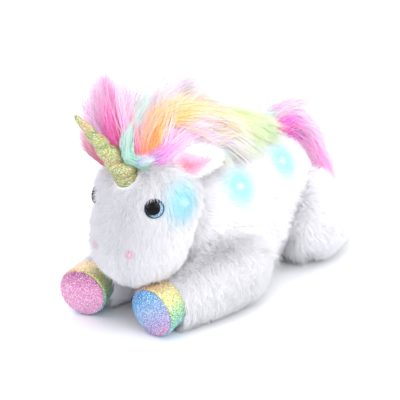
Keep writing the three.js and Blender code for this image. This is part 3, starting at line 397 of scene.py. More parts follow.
# The toy's forms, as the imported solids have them

TORSO_RINGS = [[0, 0.42, 0.42, 0.42], [0.26, 0.48, 0.48, 0.5], [0.48, 0.5, 0.5, 0.5],
               [0.7, 0.5, 0.49, 0.5], [0.87, 0.47, 0.44, 0.49], [1, 0.4, 0.28, 0.44]]
HEAD_RINGS = [[0, 0.42, 0.4, 0.36], [0.2, 0.44, 0.42, 0.4], [0.45, 0.47, 0.44, 0.46],
              [0.7, 0.48, 0.45, 0.5], [1, 0.44, 0.43, 0.44]]
FORELEG_RINGS = [[0, 0.48, 0.5, 0.5], [0.35, 0.5, 0.5, 0.51], [0.7, 0.43, 0.42, 0.44],
                 [1, 0.34, 0.34, 0.36]]
HIND_LEG_RINGS = [[0, 0.48, 0.56, 0.52], [0.42, 0.5, 0.6, 0.54], [0.75, 0.44, 0.47, 0.48],
                  [1, 0.32, 0.33, 0.34]]
EAR_RINGS = [[0, 0.34, 0.5, 0.5], [0.4, 0.5, 0.5, 0.5], [0.8, 0.34, 0.36, 0.36], [1, 0.16, 0.2, 0.2]]
TAIL_RINGS = [[0, 0.3, 0.3, 0.3], [0.25, 0.42, 0.42, 0.42], [0.55, 0.5, 0.5, 0.5],
              [0.82, 0.38, 0.38, 0.38], [1, 0.1, 0.1, 0.1]]
CREST_RINGS = [[0, 0.36, 0.7, 0.4], [0.25, 0.48, 0.8, 0.6], [0.45, 0.5, 0.82, 0.6],
               [0.65, 0.5, 0.72, 0.5], [0.82, 0.44, 0.46, 0.4], [1, 0.28, 0.24, 0.24]]
MUZZLE = place(0, -163, 46)
HEAD_LEAN = math.radians(17)
REST_FLAT = 0.5 * MM


def torso_form():
    s = sizes()
    height = s.torso_height / 2 - REST_FLAT
    front = SHIFT + TORSO_FRONT
    return Form([[0, front, height], [0, front + s.torso_length, height]], [0, 0, 1], s.torso_width,
                s.torso_height, TORSO_RINGS, (0.26, 0.32), (2.1, 2.35))


def head_form():
    s = sizes()
    bow = 0.02 * s.head_length
    spine = [MUZZLE + np.array([0, s.head_length * math.sin(HEAD_LEAN) * t - 4 * t * (1 - t) * bow,
                                s.head_length * math.cos(HEAD_LEAN) * t]) for t in (0, 0.5, 1)]
    return Form(spine, [0, -1, 0], s.head_width, s.head_depth, HEAD_RINGS, (0.3, 0.36), (2.3, 2.2))


def leg_form(kind, side):
    """A leg lies on the floor, so its spine runs at the height of its own drop and turns in with the
    square of its share."""
    s = sizes()
    if kind == "foreleg":
        x, start, heading = 55 * MM, SHIFT - 8 * MM, -1
        reach = s.foreleg_length + (6 * MM if side < 0 else 0)
        thickness, rings, cap = s.foreleg_thickness, FORELEG_RINGS, 0.4
        bend = math.radians(8 if side > 0 else -3)
    else:
        x, heading = 57 * MM, 1
        start = SHIFT + TORSO_FRONT + s.torso_length - 108 * MM
        reach, thickness, rings, cap = s.hind_leg_length, s.hind_leg_thickness, HIND_LEG_RINGS, 0.44
        bend = math.radians(5)
    spine = [[side * (x - reach * t * math.sin(bend) * t), start + heading * reach * t,
              row[3] * thickness - REST_FLAT] for t, row in ((row[0], row) for row in rings)]
    return Form(spine, [0, 0, 1], thickness, thickness, rings, (cap, 0), (2.1, 2.4))


# How deep a hoof is seated, the degrees that it turns in and pitches down, its lift off the floor, its
# widest and its narrow radius as shares of its own, and the height, gap and radius share of its sole
HOOF_SEAT = 4 * MM
HOOF_TURNS = {("foreleg", 1): 4, ("foreleg", -1): 14, ("hindleg", 1): 32, ("hindleg", -1): 32}
HOOF_PITCH = {"foreleg": 7, "hindleg": -24}
HOOF_LIFT = {"foreleg": 0, "hindleg": 10 * MM}
HOOF_BULGE = 1.03
HOOF_NECK = 0.94
HOOF_SIDES = 96
SOLE_RISE = 4 * MM
SOLE_GAP = 0.3 * MM
SOLE_SHARE = 0.955


def hoof_seat(kind, side):
    """Where a hoof starts at the ankle, and which way its sole looks."""
    s = sizes()
    turn, pitch = math.radians(HOOF_TURNS[kind, side]), math.radians(HOOF_PITCH[kind])
    heading = -1 if kind == "foreleg" else 1
    direction = np.array([-side * math.sin(turn) * math.cos(pitch),
                          heading * math.cos(turn) * math.cos(pitch), -math.sin(pitch)])
    end = leg_form(kind, side).curve.at(np.array(1.0))
    radius = s.hoof_diameter / 2 * HOOF_BULGE
    height = radius * math.cos(pitch) - REST_FLAT + s.hoof_length * max(0.0, math.sin(pitch))
    ankle = np.array([end[0], end[1], height + HOOF_LIFT[kind]]) - HOOF_SEAT * direction
    return ankle, direction


def side_angle(degrees, side):
    """An angle round the head or the torso: as given on the left, and mirrored on the right."""
    return math.radians(degrees) if side > 0 else math.pi - math.radians(degrees)


def ear_form(side):
    s = sizes()
    head = head_form()
    angle = side_angle(20, side)
    root = head.at(0.93, angle) - 8 * MM * head.normal(np.array(0.93), angle)
    out, rise = 0.58, 0.06
    back = math.sqrt(1 - out**2 - rise**2)
    tip = root + s.ear_length * np.array([side * out, back, rise])
    return Form([root, tip], [side * 0.6, -0.6, 0.36], s.ear_width, 15 * MM, EAR_RINGS, (0.1, 0.14),
                (2, 2))


HORN_TURNS = 4.5
HORN_LEAN = math.radians(43)


def horn_form():
    """A cone drawn in along a thread, with a full bulge between two turns: the radius falls by one less
    the sine of half the angle from the thread, to a power."""
    s = sizes()
    axis = np.array([0, -math.sin(HORN_LEAN), math.cos(HORN_LEAN)])
    start = head_form().at(0.8, math.pi / 2) - 10 * MM * axis

    def groove(share, angle):
        from_thread = angle - 2 * math.pi * HORN_TURNS * share
        puckers = 0.012 * np.cos(9 * angle) * (0.5 + 0.5 * np.cos(from_thread))
        return 1.03 - 0.33 * (1 - np.abs(np.sin(from_thread / 2)) ** 0.75) + puckers

    rings = []
    for share in (0, 0.5, 1):
        half = (s.horn_base + (s.horn_tip - s.horn_base) * share) / s.horn_base / 2
        rings.append([share, half, half, half])
    return Form([start, start + axis * s.horn_length], [1, 0, 0], s.horn_base, s.horn_base, rings,
                (0, 0.05), (2, 2), groove)


def tail_form():
    torso = torso_form()
    root = torso.at(0.79, math.pi / 2) - np.array([0, 0, 8 * MM])
    swing, reach, lift, drop = 42 * MM, 77 * MM, 14 * MM, 88 * MM
    shares = [[0, 0, 0, 0], [0.12, 0.26, 1, 0], [0.4, 0.56, 0.6, 0.12], [0.76, 0.86, 0, 0.58],
              [1, 1, 0, 1]]
    spine = [root + np.array([x * swing, y * reach, up * lift - down * drop]) for x, y, up, down in shares]
    return Form(spine, [0, 0, 1], 38 * MM, 38 * MM, TAIL_RINGS, (0.06, 0.06), (2, 2))


def crest_form():
    s = sizes()
    front = place(0, -156, 0)[1]
    back = SHIFT + TORSO_FRONT + s.torso_length - 78 * MM
    stations = [[0, 1.13], [0.25, 1.19], [0.55, 1.06], [0.8, 1.01], [1, 0.97]]
    spine = [[0, front + (back - front) * t, rise * s.torso_height] for t, rise in stations]
    return Form(spine, [0, 0, 1], 66 * MM, 50 * MM, CREST_RINGS, (0.12, 0.2), (2, 2))


# For each lamp the form that it lies under, its share along that form and its degrees round it
LAMP_SPOTS = {"cheek": ("head", 0.66, 6), "shoulder": ("torso", 0.293, 36), "flank": ("torso", 0.613, 41)}
LAMP_DEPTH = 2 * MM


def lamp_places():
    """Where each lamp's light reaches the pile, just under the fur's outline."""
    found = []
    for form_name, share, degrees in LAMP_SPOTS.values():
        form = head_form() if form_name == "head" else torso_form()
        for side in SIDES.values():
            angle = side_angle(degrees, side)
            found.append(form.at(share, angle) - LAMP_DEPTH * form.normal(np.array(share), angle))
    return found


# A nostril's share along the head, and how far round its middle no pile grows
NOSTRIL_SHARE = 0.27
NOSTRIL_BARE = 6.5 * MM


def nostril_angle(side):
    return math.radians(90 - 24 * side)


def nostril_places():
    head = head_form()
    return [head.at(NOSTRIL_SHARE, nostril_angle(side)) for side in SIDES.values()]


# An eye's share along the head, how deep its back lies, and how far round its middle no pile grows
EYE_SHARE = 0.595
EYE_SUNK = 5 * MM
EYE_BARE = 9.6 * MM


def eye_seat(side):
    """The middle of an eye's back face and its axis."""
    head = head_form()
    angle = side_angle(44, side)
    axis = head.normal(np.array(EYE_SHARE), angle)
    return head.at(EYE_SHARE, angle) - EYE_SUNK * axis, axis


# Pile

# Where each pile's random draws start
SEEDS = {"torso": 100, "head": 200, "legs": 300, "ears": 400, "nap": 450, "forelock": 500, "mane": 600,
         "cover": 640, "tail": 700, "tail_locks": 720, "flap": 800}
# How large the tufts are that the white pile is drawn into, and how strongly
WIDE_TUFT, WIDE_PULL = 15 * MM, 0.15
FINE_TUFT, FINE_PULL = 5 * MM, 0.13


def waves(points, size, seed, count, along):
    """A smooth vector at each point: a sum of waves of about one size, each along a random line. Along
    their own line they push by the cosine, and otherwise in a random direction by the sine."""
    rng = np.random.default_rng(seed)
    total = np.zeros_like(points)
    for _ in range(count):
        line = unit(rng.normal(size=3))
        push = line if along else unit(rng.normal(size=3))
        spread = rng.uniform(0.7, 1.4)
        phase = points @ line * 2 * math.pi / (size * spread) + rng.uniform(0, 6.28)
        total += (np.cos(phase) if along else np.sin(phase))[:, None] * push
    return total / math.sqrt(count)


def wander(points, size, seed):
    """A vector that pushes neighbouring strands alike, in no direction of its own."""
    return waves(points, size, seed, 7, False)


def gather(points, size, seed):
    """A vector that draws strands into tufts: the slope of a sum of waves, so that tips meet at the
    waves' crests."""
    return waves(points, size, seed, 9, True)


def scatter(form, count, inset, seed, cells=(90, 90)):
    """Roots spread evenly over a form: a cell of its grid is drawn with a chance in proportion to its
    area, and then a place in the cell."""
    rng = np.random.default_rng(seed)
    share = np.linspace(0.004, 0.996, cells[0] + 1)
    angle = np.linspace(0, 2 * math.pi, cells[1] + 1)
    grid = form.at(share[:, None], angle[None, :], -inset)
    down = np.diff(grid, axis=0)[:, :-1]
    over = np.diff(grid, axis=1)[:-1]
    area = np.linalg.norm(np.cross(down, over), axis=-1).ravel()
    cell = rng.choice(len(area), count, p=area / area.sum())
    row, column = np.divmod(cell, cells[1])
    root_share = share[row] + rng.uniform(size=count) * (share[1] - share[0])
    root_angle = angle[column] + rng.uniform(size=count) * (angle[1] - angle[0])
    return root_share, root_angle


def spikes(lines, thickness, seed):
    """Closed three-sided spikes round many lines at once. Each line is a row of points. The ring at a
    share t of the line has half the strand's thickness times (1 - t) to the power 0.7 as its radius, and
    the last point is the tip. Returns points, triangles, and for each point its share and its direction
    off the line."""
    rng = np.random.default_rng(seed)
    count, stops = lines.shape[:2]
    rings = stops - 1
    along = unit(np.gradient(lines, axis=1))[:, :-1]
    chosen = unit(rng.normal(size=(count, 1, 3)))
    side = unit(np.cross(along, chosen))
    other = np.cross(along, side)
    share = np.arange(stops) / rings
    radius = thickness[:, None] / 2 * (1 - share[:-1]) ** 0.7
    turns = np.arange(3) * 2 * math.pi / 3
    around = (side[:, :, None, :] * np.cos(turns)[None, None, :, None]
              + other[:, :, None, :] * np.sin(turns)[None, None, :, None])
    ring_points = lines[:, :-1, None, :] + around * radius[:, :, None, None]
    points = np.concatenate([ring_points.reshape(count, -1, 3), lines[:, -1:]], axis=1)
    each = 3 * rings + 1
    faces = [[0, 2, 1]]
    for r in range(rings - 1):
        for k in range(3):
            a, b = 3 * r + k, 3 * r + (k + 1) % 3
            faces += [[a, b, b + 3], [a, b + 3, a + 3]]
    top = 3 * (rings - 1)
    faces += [[top + k, top + (k + 1) % 3, each - 1] for k in range(3)]
    faces = (np.array(faces)[None] + (np.arange(count) * each)[:, None, None]).reshape(-1, 3)
    point_share = np.tile(np.concatenate([np.repeat(share[:-1], 3), [1.0]]), count)
    off_rings = np.broadcast_to(around, ring_points.shape).reshape(count, -1, 3)
    sides = np.concatenate([off_rings, along[:, -1:] * 0.5], axis=1)
    return points.reshape(-1, 3), faces, point_share, sides.reshape(-1, 3)


def pile_map(count, each, point_share):
    """Each strand has a cell of its own in the map: its three sides lie across the cell and its length
    runs up it."""
    columns = math.ceil(math.sqrt(count))
    row, column = np.divmod(np.arange(count), columns)
    across = np.concatenate([np.tile([0.15, 0.5, 0.85], (each - 1) // 3), [0.5]])
    u = (column[:, None] + across[None]) / columns
    v = (row[:, None] + 0.12 + 0.76 * point_share.reshape(count, each)) / columns
    return np.stack([u, v], -1).reshape(-1, 2)


# The most triangles in one piece of strands
MOST_TRIANGLES = 198000


def add_strands(name, lines, thickness, look, seed, tints=None, body=BODY, replaced=(), facing=None):
    """Strands as one piece, or as more where one would have too many triangles. Tints hold a colour for
    each stop of each line, and facing a direction for each line that its shading takes, so that short
    pile is lit as one cloth."""
    rings = lines.shape[1] - 1
    each = 3 * rings + 1
    triangles = 6 * (rings - 1) + 4
    most = MOST_TRIANGLES // triangles
    parts = max(1, math.ceil(len(lines) / most))
    made = []
    for k in range(parts):
        chosen = slice(k, None, parts)
        points, faces, share, sides = spikes(rest_on_floor(lines[chosen]), thickness[chosen], seed + k)
        points = rest_on_floor(points, FLOOR_GAP / 2)
        part_name = f"{name}_{k + 1}" if parts > 1 else name
        piece = piece_of(part_name, points, faces)
        if tints is not None:
            tint = tints[chosen]
            by_ring = np.repeat(tint[:, :-1], 3, axis=1)
            give_tint(piece, np.concatenate([by_ring, tint[:, -1:]], axis=1).reshape(-1, 3))
        give_map(piece, "OFBake", pile_map(len(points) // each, each, share))
        if facing is not None:
            shading = unit(np.repeat(facing[chosen], each, axis=0) + sides * 0.9)
            piece.data.normals_split_custom_set_from_vertices(shading)
        made.append(finish_piece(piece, look, body, replaced))
    return made


def grown_lines(roots, lengths, heading, bend=None, stops=2):
    """Lines that leave their roots along a heading, and bend with the square of their share."""
    t = np.linspace(0, 1, stops)[None, :, None]
    run = t * heading[:, None]
    if bend is not None:
        run = run + t**2 * bend[:, None]
    return roots[:, None] + lengths[:, None, None] * run


def fur_lines(form, share, angle, groom, inset, reach, seed, lay):
    """Lines of the white pile. A strand leaves the cloth between the outward direction and the groomed
    one, and bends further towards the groomed one. Two smooth fields draw strands into tufts of about
    15 and 5 mm, and a little of its turn is its own."""
    rng = np.random.default_rng(seed)
    roots = form.at(share, angle, -inset)
    outward = form.normal(share, angle)
    wish = groom(roots)
    flat = unit(wish - outward * (wish * outward).sum(-1, keepdims=True))
    tuft = gather(roots, WIDE_TUFT, 5) * WIDE_PULL + gather(roots, FINE_TUFT, 6) * FINE_PULL
    heading = unit(outward * (1 - lay * 0.5) + flat * lay * 0.75 + tuft
                   + rng.normal(size=roots.shape) * 0.24)
    bend = flat * 0.34 - outward * 0.1 + wander(roots, 9 * MM, 8) * 0.12
    lengths = reach * rng.uniform(0.72, 1.12, len(roots))
    return grown_lines(roots, lengths, heading, bend), unit(outward + heading * 0.3)


def body_facing(points, own, forms):
    """The outward direction of the body as one soft mass: from the nearest place on each form's spine
    to the point, weighted by how near the point is to that form's surface."""
    stops = np.linspace(0, 1, 41)
    total = own * 1.0
    for form in forms:
        spine = form.curve.at(stops)
        apart = points[:, None, :] - spine[None]
        far = np.linalg.norm(apart, axis=-1)
        nearest = np.argmin(far, axis=1)
        row = np.arange(len(points))
        radius = read_rows(form.rings, stops)[:, 0] * form.width
        outside = far[row, nearest] / radius[nearest] - 1
        weight = np.clip(1 - outside / 0.35, 0, 1)[:, None]
        total += unit(apart[row, nearest]) * weight
    return unit(total)


# Materials

class Value:
    """A number socket that takes part in Python expressions by adding Math nodes."""

    def __init__(self, look, socket):
        self.look, self.socket = look, socket

    def _with(self, operation, first, second=0.0):
        node = self.look.node("ShaderNodeMath", {"operation": operation}, {0: first, 1: second})
        return Value(self.look, node.outputs[0])

    def __add__(self, other):
        return self._with("ADD", self, other)

    def __sub__(self, other):
        return self._with("SUBTRACT", self, other)

    def __rsub__(self, other):
        return self._with("SUBTRACT", other, self)

    def __mul__(self, other):
        return self._with("MULTIPLY", self, other)

    def __pow__(self, other):
        return self._with("POWER", self, other)

    __radd__ = __add__

    def least(self, other):
        return self._with("MINIMUM", self, other)

    def over(self, limit):
        return self._with("GREATER_THAN", self, limit)

    def fade(self, low, high):
        """0 below low, 1 above high, and smooth between."""
        node = self.look.node("ShaderNodeMapRange", {"interpolation_type": "SMOOTHSTEP"},
                              {"Value": self, "From Min": low, "From Max": high})
        return Value(self.look, node.outputs[0])


class Look:
    """A material with one Principled shader. Constants go on the shader's own sockets."""

    def __init__(self, name, **constants):
        self.material = bpy.data.materials.new(name)
        self.material.use_nodes = True
        self.tree = self.material.node_tree
        self.tree.nodes.clear()
        output = self.tree.nodes.new("ShaderNodeOutputMaterial")
        self.shader = self.tree.nodes.new("ShaderNodeBsdfPrincipled")
        self.tree.links.new(self.shader.outputs[0], output.inputs[0])
        for key, value in constants.items():
            self.shader.inputs[key.replace("_", " ")].default_value = value

    def node(self, kind, settings=None, inputs=None):
        """Any node: its settings are set first, then its sockets get a value or a link."""
        node = self.tree.nodes.new(kind)
        for key, value in (settings or {}).items():
            setattr(node, key, value)
        for key, value in (inputs or {}).items():
            self.plug(node.inputs[key], value)
        return node

    def plug(self, socket, value):
        if isinstance(value, Value):
            value = value.socket
        if isinstance(value, bpy.types.NodeSocket):
            self.tree.links.new(value, socket)
        else:
            socket.default_value = value

    def set(self, **links):
        for key, value in links.items():
            self.plug(self.shader.inputs[key.replace("_", " ")], value)

    def spot(self):
        return self.node("ShaderNodeTexCoord").outputs["Object"]

    def map(self, name):
        return self.node("ShaderNodeUVMap", {"uv_map": name}).outputs[0]

    def parts(self, vector):
        node = self.node("ShaderNodeSeparateXYZ", None, {0: vector})
        return [Value(self, socket) for socket in node.outputs]

    def noise(self, size, detail=2.0):
        """Noise whose bumps are about one size across, in metres."""
        node = self.node("ShaderNodeTexNoise", None, {"Vector": self.spot(), "Scale": 1 / size,
                                                      "Detail": detail})
        return Value(self, node.outputs[0])

    def flakes(self, size):
        """Glitter flakes: the colour of the nearest of scattered points, and how far it is."""
        node = self.node("ShaderNodeTexVoronoi", None, {"Vector": self.spot(), "Scale": 1 / size})
        return node.outputs["Color"], Value(self, node.outputs["Distance"])

    def away(self, point):
        """The distance from a point in the piece's own coordinates."""
        node = self.node("ShaderNodeVectorMath", {"operation": "DISTANCE"},
                         {0: self.spot(), 1: tuple(float(v) for v in point)})
        return Value(self, node.outputs["Value"])

    def mix(self, factor, first, second, blend="MIX"):
        node = self.node("ShaderNodeMix", {"data_type": "RGBA", "blend_type": blend})
        self.plug(node.inputs["Factor"], factor)
        self.plug(node.inputs[6], first)
        self.plug(node.inputs[7], second)
        return node.outputs[2]

    def ramp(self, factor, stops):
        """A colour ramp from [place, code] stops."""
        node = self.node("ShaderNodeValToRGB", None, {0: factor})
        elements = node.color_ramp.elements
        while len(elements) < len(stops):
            elements.new(0.5)
        for element, (where, code) in zip(elements, stops):
            element.position = where
            element.color = linear(code)
        return node.outputs[0]

    def bump(self, height, distance, strength=1.0):
        node = self.node("ShaderNodeBump", None, {"Height": height, "Distance": distance,
                                                  "Strength": strength})
        self.set(Normal=node.outputs[0])


def full(colour_value, factor=1.0):
    return (*(float(v) * factor for v in colour_value), 1.0)


# How far from a lamp the disc of its painted light and that disc's paler middle fade out, and the blush from
# a nostril
DISC_FADE = (5 * MM, 36 * MM)
CORE_FADE = (1 * MM, 8 * MM)
BLUSH_FADE = (2 * MM, 7.5 * MM)


@cache
def white_pile_look():
    """White pile: faint blotches, a blush round the nostrils, and round each lamp's place a cyan disc with a
    paler middle: the lamp's light, painted into the pile's colour and given off by the pile as a glow.
    """
    look = Look("white_pile", Roughness=0.9, Emission_Strength=0.35, Specular_IOR_Level=0.1, Sheen_Weight=0.3,
                Sheen_Roughness=0.6)
    base = full(colours().white)
    blotch = look.noise(22 * MM)
    plain = look.mix(blotch.fade(0.35, 0.7), full(colours().white, 0.965), base)
    for point in nostril_places():
        blush = 1 - look.away(point).fade(*BLUSH_FADE)
        plain = look.mix(blush * 0.5, plain, full(colours().pink))
    nearest = None
    for point in lamp_places():
        gap = look.away(point)
        nearest = gap if nearest is None else nearest.least(gap)
    ripple = look.noise(5 * MM) - 0.5
    edge = nearest + ripple * (4 * MM)
    disc = (1 - edge.fade(*DISC_FADE)) ** 1.3
    core = 1 - edge.fade(*CORE_FADE)
    # Painted light: the lamps' light is mixed into the pile's colour as cyan discs, paler in the middle, and
    # the same discs glow
    lamp_lit_pile = look.mix(disc * 0.96, plain, full(colours().glow))
    look.set(Base_Color=look.mix(core * 0.6, lamp_lit_pile, (0.93, 1.0, 1.0, 1.0)))
    glow = look.mix(disc ** 1.3, (0, 0, 0, 1), full(colours().glow, 0.5))
    look.set(Emission_Color=look.mix(core * 0.6, glow, (0.9, 1.0, 1.0, 1.0)))
    return look.material


@cache
def skin_look():
    """Knitted backing of the pile, which shows between the strands."""
    look = Look("backing_cloth", Roughness=0.95, Specular_IOR_Level=0.1)
    weave = look.noise(1.5 * MM)
    look.set(Base_Color=look.mix(weave.fade(0.3, 0.7), full(colours().white, 0.9),
                                 full(colours().white)))
    look.bump(weave, 0.3 * MM)
    return look.material


@cache
def hair_look():
    """Mane and tail hair: the strand's own tint with fine light and dark along it, which the hair also gives
    off as a faint glow: painted light that lifts the shade between the hairs.
    """
    # Painted light: the hair glows faintly in its own colour, so that the shade between its locks is lifted
    look = Look("rainbow_hair", Roughness=0.6, Specular_IOR_Level=0.2, Emission_Strength=0.17)
    tint = look.node("ShaderNodeAttribute", {"attribute_name": "Tint"}).outputs["Color"]
    streak = look.noise(2.5 * MM)
    shade = look.mix(streak.fade(0.3, 0.75) * 0.16, tint, (1, 1, 1, 1))
    look.set(Base_Color=shade, Emission_Color=shade)
    return look.material


def glitter(look, base, size, dark=0.12, pale=0.14, lean=0.7):
    """Glitter cloth: flakes that are a little lighter or darker, some nearly black, and some nearly white,
    which are painted glints, each tilted its own way. Dark and pale are the shares of those flakes."""
    tone, _ = look.flakes(size)
    red, green, blue = look.parts(tone)
    shade = look.mix(red.fade(0.0, 0.9) * 0.25 + 0.75, (0, 0, 0, 1), base)
    deep = look.mix(0.75, shade, (0.02, 0.01, 0.03, 1))
    shade = look.mix(blue.over(1 - dark), shade, deep)
    # Painted glints: a share of the flakes mixed most of the way to white
    painted_glint = look.mix(0.7, base, (1, 1, 1, 1))
    look.set(Base_Color=look.mix(green.over(1 - pale), shade, painted_glint))
    look.set(Roughness=0.3 + blue * 0.35)
    tilt = look.node("ShaderNodeVectorMath", {"operation": "MULTIPLY_ADD"},
                     {0: tone, 1: (lean,) * 3, 2: (-lean / 2,) * 3}).outputs[0]
    facing = look.node("ShaderNodeNewGeometry").outputs["Normal"]
    turned = look.node("ShaderNodeVectorMath", {"operation": "ADD"}, {0: facing, 1: tilt}).outputs[0]
    even = look.node("ShaderNodeVectorMath", {"operation": "NORMALIZE"}, {0: turned}).outputs[0]
    look.set(Normal=even)


@cache
def gold_look():
    look = Look("gold_glitter", Metallic=0.35)
    patch = look.noise(14 * MM)
    base = look.ramp(patch, [(0.3, "8a9a48"), (0.5, "a6a956"), (0.74, "c49c6c")])
    glitter(look, base, 0.52 * MM, 0.1, 0.2, 0.55)
    return look.material


RAINBOW = [(0.0, "84c494"), (0.11, "d4d684"), (0.22, "e4c888"), (0.34, "e4a28c"), (0.44, "da88a8"),
           (0.58, "b48cce"), (0.7, "7c98d6"), (0.8, "60aade"), (0.9, "5cb4c4"), (1.0, "84c494")]
SOLE_PINK = ((0.0, "dc9cc4"), (0.45, "e298c4"), (0.8, "cf78ac"), (1.0, "a2508a"))
SOLE_BLUE = ((0.0, "d48cb4"), (0.22, "b09ad0"), (0.5, "92b0dc"), (0.74, "5ca8dc"), (1.0, "1f74bc"))


@cache
def cuff_look():
    """Rainbow glitter whose hue runs round the hoof."""
    look = Look("rainbow_glitter", Metallic=0.25)
    around, _, _ = look.parts(look.map("Round"))
    drift = (look.noise(18 * MM) - 0.5) * 0.08
    glitter(look, look.ramp(around + drift, RAINBOW), 0.6 * MM)
    return look.material


@cache
def sole_look(name, stops):
    """Glitter that shades across the sole."""
    look = Look(name, Metallic=0.25)
    _, up, _ = look.parts(look.map("Round"))
    drift = (look.noise(12 * MM) - 0.5) * 0.2
    glitter(look, look.ramp(up + drift, stops), 0.6 * MM)
    return look.material


@cache
def pink_look():
    """Short pink pile of the ear linings and the nostrils."""
    look = Look("pink_velour", Roughness=0.85, Specular_IOR_Level=0.2)
    nap = look.noise(3 * MM, 4.0)
    look.set(Base_Color=look.mix(nap.fade(0.25, 0.75), full(colours().pink, 0.82), full(colours().pink)))
    look.bump(look.noise(1.2 * MM, 3.0), 0.4 * MM)
    return look.material


@cache
def eye_look():
    """A dark domed eye: a black pupil, a glitter crescent round it, painted lit on one side and shaded to
    navy on the other, and a navy rim, all under a clear coat. The map's middle is the eye's middle."""
    look = Look("eye_dome", Roughness=0.2, Coat_Weight=0.22, Coat_Roughness=0.03, Specular_IOR_Level=0.05)
    x, y, _ = look.parts(look.map("Round"))
    x, y = x - 0.5, y - 0.5
    from_middle = (x * x + y * y) ** 0.5
    px, py = x + 0.075, y - 0.06
    from_pupil = (px * px + py * py) ** 0.5
    tone, _ = look.flakes(0.7 * MM)
    red, _, _ = look.parts(tone)
    glint = look.mix(red.fade(0.2, 0.9), full(colours().iris, 0.3), full(colours().iris, 1.15))
    # Painted light and shade: the glitter is lit on one side of the ring and shaded to navy on the other
    lit = look.mix((x - y * 0.7).fade(-0.12, 0.22), linear("1b2b40"), glint)
    iris = look.mix(from_middle.fade(0.4, 0.45), lit, linear("101b2c"))
    look.set(Base_Color=look.mix(from_pupil.fade(0.35, 0.37), linear("020204"), iris))
    return look.material


def plain_look(name, code, mottle=0.06, size=0.004, bump=0.0, **constants):
    """A moulded, painted or metal surface with slight unevenness in its colour and roughness."""
    look = Look(name, **constants)
    cloud = look.noise(size, 3.0)
    base = linear(code)
    worn = tuple(v * (1 - mottle) for v in base[:3]) + (1.0,)
    look.set(Base_Color=look.mix(cloud.fade(0.3, 0.7), worn, base))
    rough = constants.get("Roughness", 0.5)
    look.set(Roughness=cloud * 0.1 + (rough - 0.05))
    if bump:
        look.bump(cloud, bump)
    return look.material


def board_look():
    """A green board with rows of pale tracks."""
    look = Look("board_green", Roughness=0.45)
    lines = look.node("ShaderNodeTexWave", {"bands_direction": "X"},
                      {"Vector": look.spot(), "Scale": 130.0, "Distortion": 1.5}).outputs[0]
    look.set(Base_Color=look.mix(Value(look, lines).fade(0.86, 0.95), linear("1f6b3f"), linear("5f9e63")))
    return look.material


def lamp_look():
    """Clear resin lit from inside, with faint clouds in its colour."""
    look = Look("lamp_resin", Roughness=0.08, Emission_Strength=2.5)
    cloud = look.noise(2 * MM)
    look.set(Base_Color=look.mix(cloud.fade(0.3, 0.7), linear("bff6ff"), linear("e8fdff")))
    look.set(Emission_Color=look.mix(cloud.fade(0.3, 0.7), linear("a6f2ff"), linear("e2fcff")))
    return look.material


# Pieces

# How finely a form is built where it only cuts another
CUTTER = {"sides": 48, "rows": 24, "cap_rows": 8}


def add_skin(name, form, inset, replaced, neighbours=(), cutters=()):
    """The cloth under the pile, cut clear of the forms that it is sewn against."""
    points, *faces = form.closed(-inset)
    piece = piece_of(name, rest_on_floor(points, 2 * FLOOR_GAP), *faces)
    shapes = [other.closed(gap, **CUTTER) for other, gap in neighbours]
    if shapes or cutters:
        cut(piece, *shapes, *cutters)
    return finish_piece(piece, skin_look(), replaced=(replaced,))


def pocket_shapes():
    """The belly pocket: the space of the flap's recess, and above it that of the battery module."""
    flap_low, flap_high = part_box("pocket_flap")
    liner_low, liner_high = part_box("pocket_liner")
    tape_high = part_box("loop_tape")[1]
    gap = SEAM_GAP
    recess = box_shape((flap_low.x - gap, flap_low.y - gap, -5 * MM),
                       (flap_high.x + gap, flap_high.y + 12 * MM, tape_high.z + gap))
    bag = box_shape((liner_low.x - gap, liner_low.y - gap, 0.0),
                    (liner_high.x + gap, liner_high.y + gap, liner_high.z + gap))
    return recess, bag


def box_shape(low, high):
    """A closed box from two corners."""
    (x0, y0, z0), (x1, y1, z1) = low, high
    points = np.array([[x, y, z] for z in (z0, z1) for y in (y0, y1) for x in (x0, x1)])
    quads = np.array([[0, 2, 3, 1], [4, 5, 7, 6], [0, 1, 5, 4], [2, 6, 7, 3], [0, 4, 6, 2], [1, 3, 7, 5]])
    return points, quads


def in_box(points, low, high, margin=0.0):
    low, high = np.array(low) - margin, np.array(high) + margin
    return ((points > low) & (points < high)).all(-1)


def add_fur(name, form, count, groom, seed, reach=None, inset=None, keep=None, lay=0.62,
            reach_of=None, neighbours=(), settle=None):
    """White pile over a form, left out where keep says so, set down where settle says so, and lit as
    one with its neighbours."""
    p = pile()
    inset = p.inset if inset is None else inset
    share, angle = scatter(form, count, inset, seed)
    if keep is not None:
        kept = keep(form.at(share, angle, -inset), share, angle)
        share, angle = share[kept], angle[kept]
    length_at = np.full(len(share), reach or p.pile)
    if reach_of is not None:
        length_at = length_at * reach_of(form.at(share, angle, -inset), share)
    lines, facing = fur_lines(form, share, angle, groom, inset, length_at, seed + 1, lay)
    if settle is not None:
        lines = settle(lines)
    if neighbours:
        facing = body_facing(lines[:, 0], facing, neighbours)
    rng = np.random.default_rng(seed + 2)
    thickness = p.thread * rng.uniform(0.7, 1.3, len(lines))
    return add_strands(name, lines, thickness, white_pile_look(), seed, facing=facing)


# How far from a neighbour the pile is longer, and how much
SEAM_REACH = 10 * MM
SEAM_GROWTH = 1.75
# How deep roots are left out: in the crest and under the tail, where hair hides them, and in a form
# that is sewn on
CREST_DEPTH = 16 * MM
TAIL_DEPTH = 8 * MM
SEWN_DEPTH = 5 * MM
TORSO_SEWN_DEPTH = 4 * MM


def buried(points, *depths):
    """Which points lie in one of several forms, deeper than the depth given beside it."""
    return np.any([form.holds(points, -depth) for form, depth in depths], axis=0)


def near_seams(points, neighbours):
    """Longer pile where a neighbour is near, so that it closes over the seam."""
    near = buried(points, *((form, -SEAM_REACH) for form in neighbours))
    return np.where(near, SEAM_GROWTH, 1.0)


